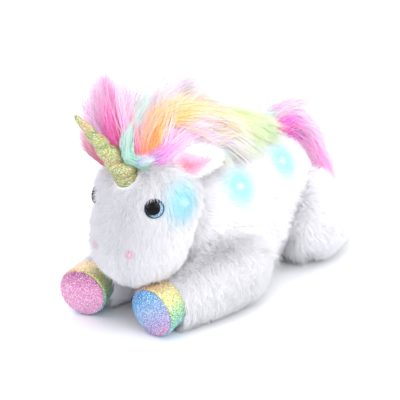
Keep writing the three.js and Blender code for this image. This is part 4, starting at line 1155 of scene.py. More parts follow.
class NIGHT_LIGHT_OT_torso(bpy.types.Operator):
    """Torso: cloth with a belly pocket cut into it, under white pile combed back and down"""
    bl_idname = "night_light.torso"
    bl_label = "Torso"

    def execute(self, context):
        torso, head = torso_form(), head_form()
        legs = [leg_form(kind, side) for kind in ("foreleg", "hindleg") for side in SIDES.values()]
        crest, tail = crest_form(), tail_form()
        p = pile()
        recess, bag = pocket_shapes()
        add_skin("torso_cloth", torso, p.inset, "torso", cutters=(recess, bag))
        low, high = recess[0].min(0), recess[0].max(0)

        def keep(points, share, angle):
            sewn = [(form, TORSO_SEWN_DEPTH) for form in (head, *legs)]
            hidden = buried(points, (crest, CREST_DEPTH), (tail, TAIL_DEPTH), *sewn)
            return ~(hidden | in_box(points, low, high, 3 * MM))

        def groom(points):
            return np.array([0.0, 0.85, -0.55]) + wander(points, 40 * MM, 21) * 0.25

        def reach_of(points, share):
            return near_seams(points, (head, *legs))

        add_fur("torso_pile", torso, p.torso_strands, groom, SEEDS["torso"], keep=keep,
                reach_of=reach_of, neighbours=(head, *legs))
        return {"FINISHED"}


class NIGHT_LIGHT_OT_head(bpy.types.Operator):
    """Head: cloth under white pile combed from the crown to the muzzle, shorter on the muzzle"""
    bl_idname = "night_light.head"
    bl_label = "Head"

    def execute(self, context):
        torso, head, horn = torso_form(), head_form(), horn_form()
        legs = [leg_form("foreleg", side) for side in SIDES.values()]
        crest = crest_form()
        p = pile()
        gap = SEAM_GAP - p.inset
        add_skin("head_cloth", head, p.inset, "head", [(torso, gap)])
        eyes = [eye_seat(side)[0] for side in SIDES.values()]

        def keep(points, share, angle):
            sewn = [(form, SEWN_DEPTH) for form in (torso, *legs)]
            hidden = buried(points, (crest, CREST_DEPTH), (horn, -1.5 * MM), *sewn)
            bare = [(centre, EYE_BARE) for centre in eyes]
            bare += [(centre, NOSTRIL_BARE) for centre in nostril_places()]
            for middle, radius in bare:
                hidden |= np.linalg.norm(points - middle, axis=1) < radius
            return ~hidden

        def reach_of(points, share):
            """Short on the muzzle and round the eyes, long on the cheeks."""
            grown = np.interp(share, [0, 0.3, 0.55, 0.8, 1], [0.85, 0.82, 0.95, 1.1, 1.15])
            for centre in eyes:
                gone = np.linalg.norm(points - centre, axis=1)
                before = points[:, 1] < centre[1] - 2 * MM
                near = np.interp(gone, [9 * MM, 17 * MM], [0.0, 1.0])
                grown = grown * np.where(before, 0.78 + 0.26 * near, 0.55 + 0.45 * near)
            return grown * near_seams(points, (torso,))

        def groom(points):
            crown_to_muzzle = -head.curve.heading(np.full(len(points), 0.5))
            out = np.stack([np.sign(points[:, 0]) * 0.35, np.zeros(len(points)), np.zeros(len(points))], -1)
            return crown_to_muzzle + out + wander(points, 35 * MM, 22) * 0.3

        add_fur("head_pile", head, p.head_strands, groom, SEEDS["head"], keep=keep, reach_of=reach_of,
                lay=0.55, neighbours=(torso,))
        return {"FINISHED"}


class NIGHT_LIGHT_OT_legs(bpy.types.Operator):
    """Legs: four tapered forms under white pile combed towards the hooves"""
    bl_idname = "night_light.legs"
    bl_label = "Legs"

    def execute(self, context):
        torso, head = torso_form(), head_form()
        p = pile()
        gap = SEAM_GAP - p.inset
        for kind in ("foreleg", "hindleg"):
            for side_name, side in SIDES.items():
                leg = leg_form(kind, side)
                ankle, direction = hoof_seat(kind, side)
                beyond = hoof_space(ankle, direction)
                add_skin(f"{kind}_{side_name}_cloth", leg, p.inset, f"{kind}_{side_name}",
                         [(torso, gap), (head, gap)], cutters=(beyond,))
                heading = -1 if kind == "foreleg" else 1

                def keep(points, share, angle):
                    hidden = buried(points, (torso, SEWN_DEPTH), (head, SEWN_DEPTH))
                    along = (points - ankle) @ direction
                    beside = np.linalg.norm(points - ankle - along[:, None] * direction, axis=1)
                    hidden |= (along > -1 * MM) & (beside < sizes().hoof_diameter / 2 + 1 * MM)
                    return ~hidden

                def settle(lines):
                    """Roots past the ankle go back onto the leg's end, around the hoof."""
                    along = (lines[:, 0] - ankle) @ direction
                    return lines - np.maximum(along + 1 * MM, 0)[:, None, None] * direction

                def groom(points):
                    down = np.array([0.35 * side, 0.45 * heading, -0.7])
                    return down + wander(points, 35 * MM, 23) * 0.3

                def reach_of(points, share):
                    """Shorter near the hoof."""
                    near_hoof = np.interp(share, [0, 0.6, 1], [1.05, 1.0, 0.95])
                    return near_hoof * near_seams(points, (torso, head))

                add_fur(f"{kind}_{side_name}_pile", leg, p.leg_strands, groom,
                        SEEDS["legs"] + 20 * heading + 5 * side, keep=keep, reach_of=reach_of, lay=0.6,
                        neighbours=(torso,), settle=settle)
        return {"FINISHED"}


def hoof_space(ankle, direction):
    """The space past a leg's end: a short drum from just before the ankle to well past the sole."""
    s = sizes()
    radius, reach = s.hoof_diameter, s.hoof_length * 3
    return lathe([(radius, -SEAM_GAP), (radius, reach)], ankle, direction, 32, (-SEAM_GAP, reach))


def around_axis(direction):
    """Two directions square to an axis: level to the side, and up."""
    side = unit(np.cross([0, 0, 1], direction))
    return side, np.cross(direction, side)


def lathe(profile, origin, direction, sides, ends, relief=None):
    """A profile of (radius, height) carried round an axis. Relief changes the radius by angle and step.
    Ends are the heights of the two points that close it."""
    side, up = around_axis(direction)
    angle = np.arange(sides) * 2 * math.pi / sides
    radius, height = np.array(profile, float).T
    radius = radius[:, None] * np.ones(sides)[None]
    if relief is not None:
        radius = radius + relief(np.linspace(0, 1, len(profile))[:, None], angle[None])
    rings = (origin + direction * height[:, None, None]
             + side * (radius * np.cos(angle))[..., None] + up * (radius * np.sin(angle))[..., None])
    return closed_grid(rings, origin + direction * ends[0], origin + direction * ends[1])


def round_map(points, origin, direction, radius):
    """For each point its turn round the axis as a share, and how far it lies to the side and up from
    the axis, in radii."""
    side, up = around_axis(direction)
    x, y = (points - origin) @ side / radius, (points - origin) @ up / radius
    turn = np.mod(np.arctan2(y, x) / (2 * math.pi), 1.0)
    return turn, x, y


class NIGHT_LIGHT_OT_hooves(bpy.types.Operator):
    """Hooves: cuffs of rainbow glitter cloth gathered at both seams, each with a domed sole sewn in"""
    bl_idname = "night_light.hooves"
    bl_label = "Hooves"

    def execute(self, context):
        s = sizes()
        head = head_form()
        names = {"foreleg": "front", "hindleg": "rear"}
        for kind, place_name in names.items():
            for side_name, side in SIDES.items():
                ankle, direction = hoof_seat(kind, side)
                radius = s.hoof_diameter / 2
                t = np.linspace(0, 1, 29)
                swell = HOOF_NECK + (HOOF_BULGE - HOOF_NECK) * np.sin(np.minimum(t * 2.1, 2) * math.pi / 4)
                tuck = np.interp(t, [0, 0.04, 0.9, 0.96, 1], [0.93, 0.985, 1.0, 0.985, 0.94])
                profile = np.stack([radius * swell * tuck, s.hoof_length * t], -1)

                def folds(share, angle):
                    near_seam = np.exp(-(share / 0.22) ** 2) + np.exp(-((1 - share) / 0.16) ** 2)
                    wobble = np.cos(17 * angle + 1.3 * np.sin(3 * angle)) * 0.38 * MM * near_seam
                    lumps = np.sin(2 * angle + 0.7 * side) * 0.6 * MM + np.sin(3 * angle + 2) * 0.4 * MM
                    return wobble + lumps * np.sin(share * math.pi) - 0.6 * MM

                points, *faces = lathe(profile, ankle, direction, HOOF_SIDES, (0, s.hoof_length), folds)
                points = rest_on_floor(points)
                cuff = piece_of(f"{place_name}_hoof_{side_name}", points, *faces)
                turn, _, _ = round_map(points, ankle, direction, radius)
                give_map(cuff, "Round", np.stack([turn, turn], -1))
                smooth_seam(cuff)
                if kind == "foreleg":
                    cut(cuff, head.closed(SEAM_GAP - 2 * MM, **CUTTER))
                finish_piece(cuff, cuff_look(),
                             replaced=(f"hoof_{place_name}_{side_name}",))
                self.add_sole(place_name, side_name, side, ankle, direction, radius)
        return {"FINISHED"}

    def add_sole(self, place_name, side_name, side, ankle, direction, radius):
        """The sole is a shallow dome: its height falls with the fifth power of the radius share, down to
        the seam at its edge, with small gathers there."""
        s = sizes()
        start = ankle + direction * (s.hoof_length + SOLE_GAP)
        edge = radius * SOLE_SHARE
        r = np.concatenate([np.linspace(0.985, 1.0, 3), np.sin(np.linspace(math.pi / 2, 0.03, 26))])
        dome = 1 - r[3:] ** 5
        height = np.concatenate([np.linspace(0.0, 0.25, 3) * SOLE_RISE, SOLE_RISE * (0.3 + 0.7 * dome)])
        profile = np.stack([edge * r, height], -1)

        def gathers(share, angle):
            return np.cos(22 * angle + np.sin(4 * angle)) * 0.3 * MM * np.exp(-(share / 0.3) ** 2) - 0.3 * MM

        points, *faces = lathe(profile, start, direction, HOOF_SIDES, (0, SOLE_RISE), gathers)
        points = rest_on_floor(points)
        sole = piece_of(f"{place_name}_sole_{side_name}", points, *faces)
        _, x, y = round_map(points, start, direction, radius)
        across = 0.5 + 0.5 * (y if side < 0 else (0.75 * y - 0.65 * x))
        give_map(sole, "Round", np.stack([x, across], -1))
        colouring = ("pink_glitter", SOLE_PINK) if side < 0 else ("blue_glitter", SOLE_BLUE)
        finish_piece(sole, sole_look(*colouring),
                     replaced=(f"sole_{place_name}_{side_name}",))


def smooth_seam(piece):
    """Where the turn in the map wraps from one to nothing, corners at nothing are set to one."""
    layer = piece.data.uv_layers["Round"].uv
    values = np.empty(len(piece.data.loops) * 2, np.float32)
    layer.foreach_get("vector", values)
    values = values.reshape(-1, 2)
    starts = np.empty(len(piece.data.polygons), np.int32)
    counts = np.empty(len(piece.data.polygons), np.int32)
    piece.data.polygons.foreach_get("loop_start", starts)
    piece.data.polygons.foreach_get("loop_total", counts)
    face = np.repeat(np.arange(len(starts)), counts)
    high = np.maximum.reduceat(values[:, 0], starts)[face]
    values[:, 0] = np.where((high > 0.75) & (values[:, 0] < 0.25), values[:, 0] + 1, values[:, 0])
    layer.foreach_set("vector", values.ravel())


class NIGHT_LIGHT_OT_horn(bpy.types.Operator):
    """Horn: a stuffed cone of gold glitter cloth drawn in by a winding thread"""
    bl_idname = "night_light.horn"
    bl_label = "Horn"

    def execute(self, context):
        horn = piece_of("horn_cloth", *horn_form().closed(0.0, sides=96, rows=260, cap_rows=8))
        finish_piece(horn, gold_look(), replaced=("horn",))
        return {"FINISHED"}


# How far an ear's lining runs round it on each side of its middle, as a share of a full turn
LINING_WRAP = 0.17


def lining_wrap(share, least):
    """The half turn of the lining at a share of the ear: a sine over the lining's run, to a power."""
    return LINING_WRAP * np.sin(math.pi * np.clip((share - 0.06) / 0.74, least, 1)) ** 0.5


class NIGHT_LIGHT_OT_ears(bpy.types.Operator):
    """Ears: white leaves with a hollowed pink lining on the facing side"""
    bl_idname = "night_light.ears"
    bl_label = "Ears"

    def execute(self, context):
        p = pile()
        head = head_form()
        inset = 3.2 * MM
        for side_name, side in SIDES.items():
            ear = ear_form(side)
            add_skin(f"ear_{side_name}_cloth", ear, inset, f"ear_{side_name}",
                     [(head, SEAM_GAP - p.inset)])
            self.add_lining(ear, side_name, side)

            def keep(points, share, angle):
                from_facing = np.abs(np.mod(angle - math.pi / 2 + math.pi, 2 * math.pi) - math.pi)
                wrap = 2 * math.pi * lining_wrap(share, 0)
                return ~(from_facing < wrap) & ~head.holds(points, -6 * MM)

            def groom(points):
                return ear.curve.heading(np.full(len(points), 0.5)) + wander(points, 20 * MM, 24) * 0.3

            add_fur(f"ear_{side_name}_pile", ear, p.ear_strands, groom, SEEDS["ears"] + side,
                    reach=8 * MM, inset=inset, keep=keep, lay=0.6)
        return {"FINISHED"}

    def add_lining(self, ear, side_name, side):
        """The lining's surface dips by the cosine across the leaf, and a crease runs down its middle.
        Its underside follows the ear."""
        runs, wraps = 40, 24
        share = np.linspace(0.09, 0.78, runs + 1)[:, None]
        across = np.linspace(-1, 1, wraps + 1)[None]
        wrap = LINING_WRAP * np.sin(math.pi * (np.arange(runs + 1) + 1) / (runs + 2))[:, None] ** 0.5
        angle = math.pi / 2 - 2 * math.pi * wrap * across
        dip = np.cos(across * math.pi / 2) * np.sin(np.linspace(0.1, 1, runs + 1) * math.pi)[:, None]
        crease = np.exp(-(across / 0.12) ** 2) * 0.8 * MM
        top = ear.at(share, angle, -0.8 * MM - 1.0 * MM * dip - crease * (share < 0.6))
        under = ear.at(share, angle, -2.9 * MM)
        count = (runs + 1) * (wraps + 1)
        j, i = np.meshgrid(np.arange(runs), np.arange(wraps), indexing="ij")
        k = (j * (wraps + 1) + i).ravel()
        n = wraps + 1
        upper = np.stack([k, k + n, k + n + 1, k + 1], -1)
        lower = np.stack([k, k + 1, k + n + 1, k + n], -1) + count
        rim = np.concatenate([np.arange(wraps), np.arange(runs) * n + wraps,
                              runs * n + wraps - np.arange(wraps), (runs - np.arange(runs)) * n])
        following = np.roll(rim, -1)
        wall = np.stack([rim, following, following + count, rim + count], -1)
        points = np.vstack([top.reshape(-1, 3), under.reshape(-1, 3)])
        lining = piece_of(f"ear_{side_name}_lining", points, upper, lower, wall)
        point_outwards(lining)
        finish_piece(lining, pink_look(), replaced=(f"ear_lining_{side_name}",))
        self.add_nap(ear, side_name, side)

    def add_nap(self, ear, side_name, side):
        """Short pink pile on the lining, laid towards the ear's tip and in from its rim: coral near the
        crease, which is painted shade, pink about it, and white at the rim."""
        count, inset = 6000, 2.4 * MM
        rng = np.random.default_rng(SEEDS["nap"])
        share, across = rng.uniform(0.08, 0.76, count), rng.uniform(-1.1, 1.1, count)
        wrap = lining_wrap(share, 0.02)
        angle = math.pi / 2 - 2 * math.pi * wrap * across
        roots = ear.at(share, angle, -inset)
        outward = ear.normal(share, angle)
        middle = ear.at(share, np.full(count, math.pi / 2), -inset)
        inwards = unit(middle - roots + 1e-9) * np.clip(np.abs(across) - 0.55, 0, 1)[:, None]
        tip_ward = ear.curve.heading(share)
        heading = unit(tip_ward * 0.75 + outward * 0.45 + inwards * 1.3 + rng.normal(size=roots.shape) * 0.25)
        reach = rng.uniform(0.7, 1.15, count) * np.interp(np.abs(across), [0, 0.7, 1.1], [3.2, 4.0, 4.6]) * MM
        lines = grown_lines(roots, reach, heading)
        down = side * across
        # Painted shade: the pink nap deepens to coral towards the lining's crease
        from_crease = np.abs(down - 0.3) + np.abs(share - 0.28) * 1.5 + rng.normal(size=count) * 0.04
        table = np.array([linear(code)[:3] for code in NAP])
        tint = np.stack([np.interp(from_crease, [0.1, 0.4, 0.8, 1.15], table[:, k]) for k in range(3)], -1)
        tints = np.repeat(tint[:, None], 2, axis=1)
        add_strands(f"ear_{side_name}_nap", lines, np.full(count, 1.2 * pile().thread),
                    hair_look(), SEEDS["nap"] + 1, tints, facing=outward)


def point_outwards(piece):
    """Turns a closed piece's faces to point outwards."""
    work = bmesh.new()
    work.from_mesh(piece.data)
    bmesh.ops.recalc_face_normals(work, faces=work.faces)
    work.to_mesh(piece.data)
    work.free()


class NIGHT_LIGHT_OT_face(bpy.types.Operator):
    """Face: two domed eyes with a glitter crescent, and two pink nostrils"""
    bl_idname = "night_light.face"
    bl_label = "Eyes and nostrils"

    def execute(self, context):
        s = sizes()
        head = head_form()
        for side_name, side in SIDES.items():
            origin, axis = eye_seat(side)
            radius = s.eye_diameter / 2
            base, rim, rise = 1.2 * MM, 1.2 * MM, 5.3 * MM
            turn = np.linspace(0, math.pi / 2 - 0.04, 16)
            dome = np.stack([radius * np.cos(turn), base + rim + rise * np.sin(turn)], -1)
            shank, shank_end = 2.1 * MM, base - 13 * MM
            profile = np.vstack([[shank, shank_end], [shank, base], [radius * 0.97, base],
                                 [radius, base + 0.3 * MM], dome])
            points, *faces = lathe(profile, origin, axis, 64, (shank_end, base + rim + rise))
            eye = piece_of(f"eye_{side_name}_dome", points, *faces)
            _, x, y = round_map(points, origin, axis, 2 * radius)
            give_map(eye, "Round", np.stack([0.5 + side * x, 0.5 + y], -1))
            finish_piece(eye, eye_look(), replaced=(f"eye_{side_name}",))
            self.add_nostril(head, side_name, side)
        return {"FINISHED"}

    def add_nostril(self, head, side_name, side):
        """An oval pad: half an ellipsoid, drawn out by a quarter in its own upward direction."""
        angle = nostril_angle(side)
        middle = head.at(NOSTRIL_SHARE, angle)
        axis = head.normal(np.array(NOSTRIL_SHARE), angle)
        radius, sunk, rise = 3.6 * MM, 5.6 * MM, 5.0 * MM
        turn = np.linspace(0, 1, 14) * 1.5
        profile = np.stack([radius * np.cos(turn), -sunk + rise * np.sin(turn)], -1)
        points, *faces = lathe(profile, middle, axis, 40, (-sunk, rise - sunk))
        _, up = around_axis(axis)
        lift = ((points - middle) @ up)[:, None]
        points = points + lift * up * 0.25
        pad = piece_of(f"nostril_{side_name}_pad", points, *faces)
        finish_piece(pad, pink_look(), replaced=(f"nostril_{side_name}",))


# Mane, forelock and tail

HAIR_DEPTH = 1.1


def hair_tints(stops, rows, chance):
    """Colours along each hair: the chosen row's codes read at each stop, deepened by a power."""
    table = np.array([[linear(code)[:3] for code in row] for row in rows]) ** HAIR_DEPTH
    marks = np.linspace(0, 1, table.shape[1])
    by_row = np.stack([[np.interp(np.linspace(0, 1, stops), marks, table[r, :, c]) for c in range(3)]
                       for r in range(len(rows))])
    return np.moveaxis(by_row[chance], 1, 2)


def bow(root, middle, tip, t):
    """The curve of second degree through three points, reached at shares 0, a half and 1."""
    return root * (1 - t) * (1 - 2 * t) + middle * 4 * t * (1 - t) + tip * t * (2 * t - 1)


# The chance that a hair is loose, and how much farther it then strays
LOOSE_CHANCE = 0.14
LOOSE_STRAY = 2.6


def lock_lines(root, middle, tip, width, spread, count, seed, stops=4):
    """Hair in locks. Each lock is a bow near the tuft's own bow. A hair runs beside its lock's line and
    strays a little of its own, and a loose hair strays farther."""
    rng = np.random.default_rng(seed)
    locks = max(5, round(count * spread / (400 * MM)))
    owner = rng.integers(0, locks, count)
    lock_root = root + rng.normal(size=(locks, 3)) * width * np.array([1.0, 1.0, 0.3])
    lock_middle = middle + (lock_root - root) * 0.8 + rng.normal(size=(locks, 3)) * spread * 0.55
    lock_tip = tip + (lock_root - root) * 0.4 + rng.normal(size=(locks, 3)) * spread
    t = np.linspace(0, 1, stops)[None, :, None]
    long = (rng.uniform(0.8, 1.0, locks)[owner] * rng.uniform(0.74, 1.04, count))[:, None, None]
    line = bow(lock_root[owner][:, None], lock_middle[owner][:, None], lock_tip[owner][:, None], t * long)
    beside = rng.normal(size=(count, 1, 3)) * (width * 0.5 * (1 - 0.6 * t) + spread * 0.26 * t)
    wave = np.sin(t * rng.uniform(3, 7, (count, 1, 1)) + rng.uniform(0, 6, (count, 1, 1)))
    loose = np.where(rng.uniform(size=(count, 1, 1)) < LOOSE_CHANCE, LOOSE_STRAY, 1.0)
    stray = rng.normal(size=(count, 1, 3)) * (0.6 * MM * wave + (spread * 0.3 + 0.8 * MM) * loose * t) * t
    return line + beside + stray, owner


# No hair of a tuft reaches higher than this
HAIR_CEILING = 293 * MM
# How far below it, at most, the ceiling of a single hair is drawn
CEILING_DROP = 14 * MM

# Codes from root to tip
PINKS = ["e0409e", "f36cc4", "f791d4", "f6b9e2", "f3dcee"]
ROSE = ["ea74be", "f5a0d6", "f5bfe2", "f3d8ec", "f4ebf4"]
PALE = ["e8a6d2", "eabfdd", "ebcfe2", "ebdbe7", "ece5ed"]
CORAL = ["ea6088", "f2809a", "f6a2ae", "f7c6c8", "f7e4e4"]
MINT = ["a2d8c0", "aad8c6", "b8dccf", "cadfd8", "dde6e2"]
CURL = ["9ad8c0", "a2d6cc", "a8c8de", "bcb6e0", "dcb2e0"]
ORANGE = ["f6a24e", "f8ac62", "f9b877", "fac995", "fadfbf"]
SALMON = ["f4875e", "f68c74", "f79a8c", "f8b8a4", "fad8c4"]
YELLOW = ["f8bf62", "f9cb6c", "f8d47c", "f5dc9a", "f2e4c0"]
PEACH = ["f2c490", "f3cc9e", "f1d3ae", "eedac2", "ebe2d6"]
LILAC = ["dc80c8", "e698d6", "efb4e2", "f4cdea", "f7e4f4"]
MAGENTA = ["8fb0e2", "cf8ad2", "dc86d0", "eaa6de", "f4d0ec"]
LIME = ["c4da7c", "cce08c", "d2e59a", "d9e9ac", "e2edc8"]
SAGE = ["acc896", "b6d09f", "c1d7aa", "ccddb6", "d9e3ca"]
AQUA = ["9ccfc6", "a9d4cd", "b6d9d5", "c5dfdb", "d8e8e5"]
BLUSH = ["e8c6dc", "e9d0e1", "ead9e5", "ebe1e8", "ede8ee"]

VIVID = ["a80e58", "da3890", "ee5eb2", "f486ca", "f2bade"]
HOT = ["ef55c0", "f26fcb", "f58cd6", "f6b4e3", "f6dcf0"]
VIOLET = ["b974cc", "ca82cc", "d99aca", "e2b8d0", "eadae2"]
SMOKE = ["f0cade", "e8d0de", "cdc0ca", "b3a6b2", "c6bcc6"]
ROSY = ["f0829e", "f494ae", "f5a8be", "f3bfce", "f0d6de"]
MEADOW = ["f8cc7e", "f2d692", "e6dda2", "dbe0b0", "dce4c8"]

# Colours of the ear linings' nap from the crease outwards; the coral at the crease is painted shade
NAP = ["e96f86", "ee96b4", "f3bcd2", "faf4f8"]

# Root, middle and tip in millimetres (to the toy's left, back and up), width at the root and spread at
# the tip, number of hairs, colours, and whether the tuft is repeated on the right side
FORELOCK_TUFTS = [
    ((1, -160, 178), (-2, -187, 224), (-8, -184, 282), 3.4, 3, 2100, (VIVID, VIVID, PINKS), False),
    ((2, -157, 178), (-2, -177, 230), (-6, -172, 286), 4, 7, 600, (PINKS, ROSE, PALE), False),
    ((3, -154, 180), (3, -172, 224), (0, -154, 262), 4, 6, 900, (ROSY, ROSE, ROSY, PALE), False),
    ((-4, -160, 178), (-12, -180, 228), (-19, -188, 276), 4.5, 8, 1000, (PINKS, PINKS, ROSE, BLUSH), False),
    ((-7, -160, 177), (-18, -184, 220), (-28, -192, 258), 4, 9, 700, (ROSE, PINKS, PALE), False),
    ((-10, -160, 174), (-21, -189, 204), (-33, -195, 230), 4, 7, 600, (PINKS, ROSE, ROSY), False),
    ((-10, -160, 172), (-22, -188, 194), (-31, -196, 213), 4, 5, 700, (CORAL, CORAL, ROSY), False),
    ((3, -150, 182), (3, -165, 230), (0, -147, 268), 4, 8, 110, (SMOKE,), False),
]
MANE_TUFTS = [
    ((-1, -150, 183), (-1, -156, 217), (-3, -134, 250), 4, 6, 500, (ROSY, PEACH, PALE), False),
    ((14, -153, 177), (14, -183, 208), (10, -122, 262), 3.2, 2.8, 1150, (MINT, MINT, AQUA), False),
    ((4, -160, 182), (20, -170, 185), (30, -150, 187), 2.6, 2.2, 600, (CURL, MINT), False),
    ((6, -158, 181), (8, -152, 205), (10, -118, 228), 4, 4, 1500, (ORANGE, SALMON, ORANGE), False),
    ((2, -146, 183), (4, -132, 214), (6, -84, 229), 6, 7, 1600, (YELLOW, YELLOW, ORANGE), False),
    ((0, -116, 182), (2, -76, 217), (8, 4, 202), 7, 9, 1900, (PEACH, MEADOW, MEADOW, PALE), False),
    ((13, -150, 180), (24, -128, 187), (33, -82, 200), 4, 6, 1100, (MAGENTA, LILAC, LILAC), True),
    ((10, -142, 182), (18, -112, 198), (24, -54, 210), 5, 7, 1000, (LILAC, PALE, ROSE), True),
    ((-3, -140, 184), (-5, -130, 222), (-8, -100, 254), 5, 11, 450, (PALE, PEACH, PALE, SMOKE), False),
    ((3, -136, 184), (0, -116, 218), (-2, -78, 242), 6, 10, 800, (PEACH, PALE, BLUSH), False),
    ((-5, -118, 184), (-10, -78, 230), (-10, -10, 232), 5, 11, 600, (BLUSH, PALE, SMOKE), False),
    ((0, -74, 174), (4, -16, 188), (8, 66, 168), 8, 8, 1800, (LIME, SAGE, MEADOW, SAGE), False),
    ((8, -80, 174), (20, -42, 188), (30, 4, 168), 7, 8, 1100, (SAGE, SAGE, MEADOW, LIME), True),
    ((6, -14, 164), (14, 36, 168), (20, 84, 152), 7, 7, 900, (AQUA, SAGE, LIME), True),
    ((15, -98, 176), (28, -72, 184), (38, -38, 182), 5, 8, 900, (PALE, PALE, BLUSH), True),
    ((16, -92, 172), (36, -70, 172), (48, -54, 150), 5, 6, 700, (SAGE, AQUA, PALE), True),
    ((12, -60, 170), (28, -38, 178), (44, -22, 156), 5, 7, 600, (AQUA, SAGE), True),
    ((12, -28, 164), (26, -4, 172), (38, 20, 156), 6, 7, 600, (SAGE, LIME), True),
]
TAIL_TUFTS = [
    ((0, 84, 166), (12, 140, 186), (30, 188, 160), 6, 8, 260, (PALE, BLUSH, SMOKE), False),
    ((2, 88, 166), (14, 132, 170), (34, 178, 130), 6, 7, 1000, (ROSE, PALE, ROSE), False),
    ((2, 90, 164), (14, 132, 158), (33, 174, 106), 7, 7, 1500, (HOT, HOT, ROSE), False),
    ((4, 92, 162), (22, 146, 154), (40, 184, 100), 6, 8, 600, (PALE, ROSE), False),
    ((6, 96, 156), (17, 134, 138), (33, 166, 90), 7, 6, 1300, (HOT, HOT, VIOLET), False),
    ((6, 96, 150), (15, 124, 128), (28, 150, 92), 6, 5, 600, (VIOLET, HOT, PEACH), False),
    ((-6, 92, 160), (-4, 132, 148), (14, 172, 96), 7, 9, 500, (HOT, ROSE), False),
    ((2, 76, 164), (7, 92, 176), (12, 112, 177), 5, 3, 700, (AQUA, AQUA, SMOKE), False),
]


def add_tufts(name, tufts, seed, replaced=()):
    """Builds the tufts of a table as strands with their own tints."""
    lines, tints = [], []
    for k, (root, middle, tip, width, spread, count, rows, paired) in enumerate(tufts):
        for side in (1, -1) if paired else (1,):
            across = np.array([side, 1, 1])
            made, owner = lock_lines(*(place(*(across * spot)) for spot in (root, middle, tip)),
                                     width * MM, spread * MM, count, seed + 7 * k)
            rng = np.random.default_rng(seed + 7 * k + 1)
            by_lock = rng.integers(0, len(rows), owner.max() + 1)[owner]
            own = rng.integers(0, len(rows), count)
            row = np.where(rng.uniform(size=count) < 0.25, own, by_lock)
            lines.append(made)
            tints.append(hair_tints(made.shape[1], rows, row))
    lines, tints = np.concatenate(lines), np.concatenate(tints)
    rng = np.random.default_rng(seed + 3)
    ceiling = HAIR_CEILING - rng.uniform(0, CEILING_DROP, len(lines))
    rise = np.maximum(lines[:, :, 2].max(axis=1) - lines[:, 0, 2], MM)
    fit = np.minimum((ceiling - lines[:, 0, 2]) / rise, 1)[:, None, None]
    lines = lines[:, :1] + (lines - lines[:, :1]) * fit
    thickness = hair_thickness(rng, len(lines))
    return add_strands(name, lines, thickness, hair_look(), seed, tints,
                       replaced=replaced, facing=hair_facing(lines))


def hair_thickness(rng, count):
    return pile().hair * rng.uniform(0.6, 1.3, count)


def hair_facing(lines):
    """The direction that hair is lit from: up, forwards, and away from the toy's middle plane."""
    side = np.clip(lines[:, 1:].mean(axis=1)[:, 0] / (30 * MM), -1, 1)
    return unit(np.column_stack([side * 0.6, np.full(len(side), -0.25), np.ones(len(side))]))


class NIGHT_LIGHT_OT_mane(bpy.types.Operator):
    """Mane and forelock: locks of rainbow hair along the crown and the neck"""
    bl_idname = "night_light.mane"
    bl_label = "Mane and forelock"

    def execute(self, context):
        add_tufts("forelock_hair", FORELOCK_TUFTS, SEEDS["forelock"], ("forelock",))
        add_tufts("mane_hair", MANE_TUFTS, SEEDS["mane"], ("mane",))
        self.add_cover()
        return {"FINISHED"}

    def add_cover(self):
        """Hair rooted all over the crest. It follows the spine backwards and falls outwards, and its
        colours change from the crown to the withers and from the ridge to the sides."""
        crest, head, torso = crest_form(), head_form(), torso_form()
        inset, count = 14 * MM, 15000
        share, angle = scatter(crest, count, inset, SEEDS["cover"])
        kept = np.sin(angle) > -0.45
        share, angle = share[kept], angle[kept]
        roots = crest.at(share, angle, -inset)
        kept = ~buried(roots, (head, 9 * MM), (torso, 8 * MM))
        share, angle, roots = share[kept], angle[kept], roots[kept]
        count = len(share)
        rng = np.random.default_rng(SEEDS["cover"] + 1)
        outward = crest.normal(share, angle)
        along = crest.curve.heading(share)
        low = np.clip(1 - np.sin(angle), 0, 1)[:, None]
        heading = unit(along * 1.0 + outward * (0.62 - 0.2 * low) + wander(roots, 30 * MM, 31) * 0.3
                       + gather(roots, 14 * MM, 32) * 0.3 + rng.normal(size=roots.shape) * 0.13)
        bend = np.array([0, 0, -0.42]) + along * 0.12 + wander(roots, 22 * MM, 33) * 0.14
        reach = np.interp(share, [0, 0.3, 0.7, 1], [44, 60, 50, 36]) * MM * rng.uniform(0.65, 1.1, count)
        stops = 4
        lines = grown_lines(roots, reach, heading, bend, stops)
        rows = [ORANGE, YELLOW, PEACH, MEADOW, LIME, SAGE, LIME, SAGE, AQUA,
                LILAC, LILAC, PALE, BLUSH, SAGE, SAGE, LIME, AQUA, AQUA]
        step = np.clip(share * 8 + rng.normal(size=count) * 0.55, 0, 8).astype(int)
        beside = np.abs(np.cos(angle)) + rng.normal(size=count) * 0.1 > 0.84
        tints = hair_tints(stops, rows, step + len(rows) // 2 * beside)
        add_strands("mane_cover", lines, hair_thickness(rng, count), hair_look(),
                    SEEDS["cover"] + 2, tints, replaced=("mane",), facing=hair_facing(lines))


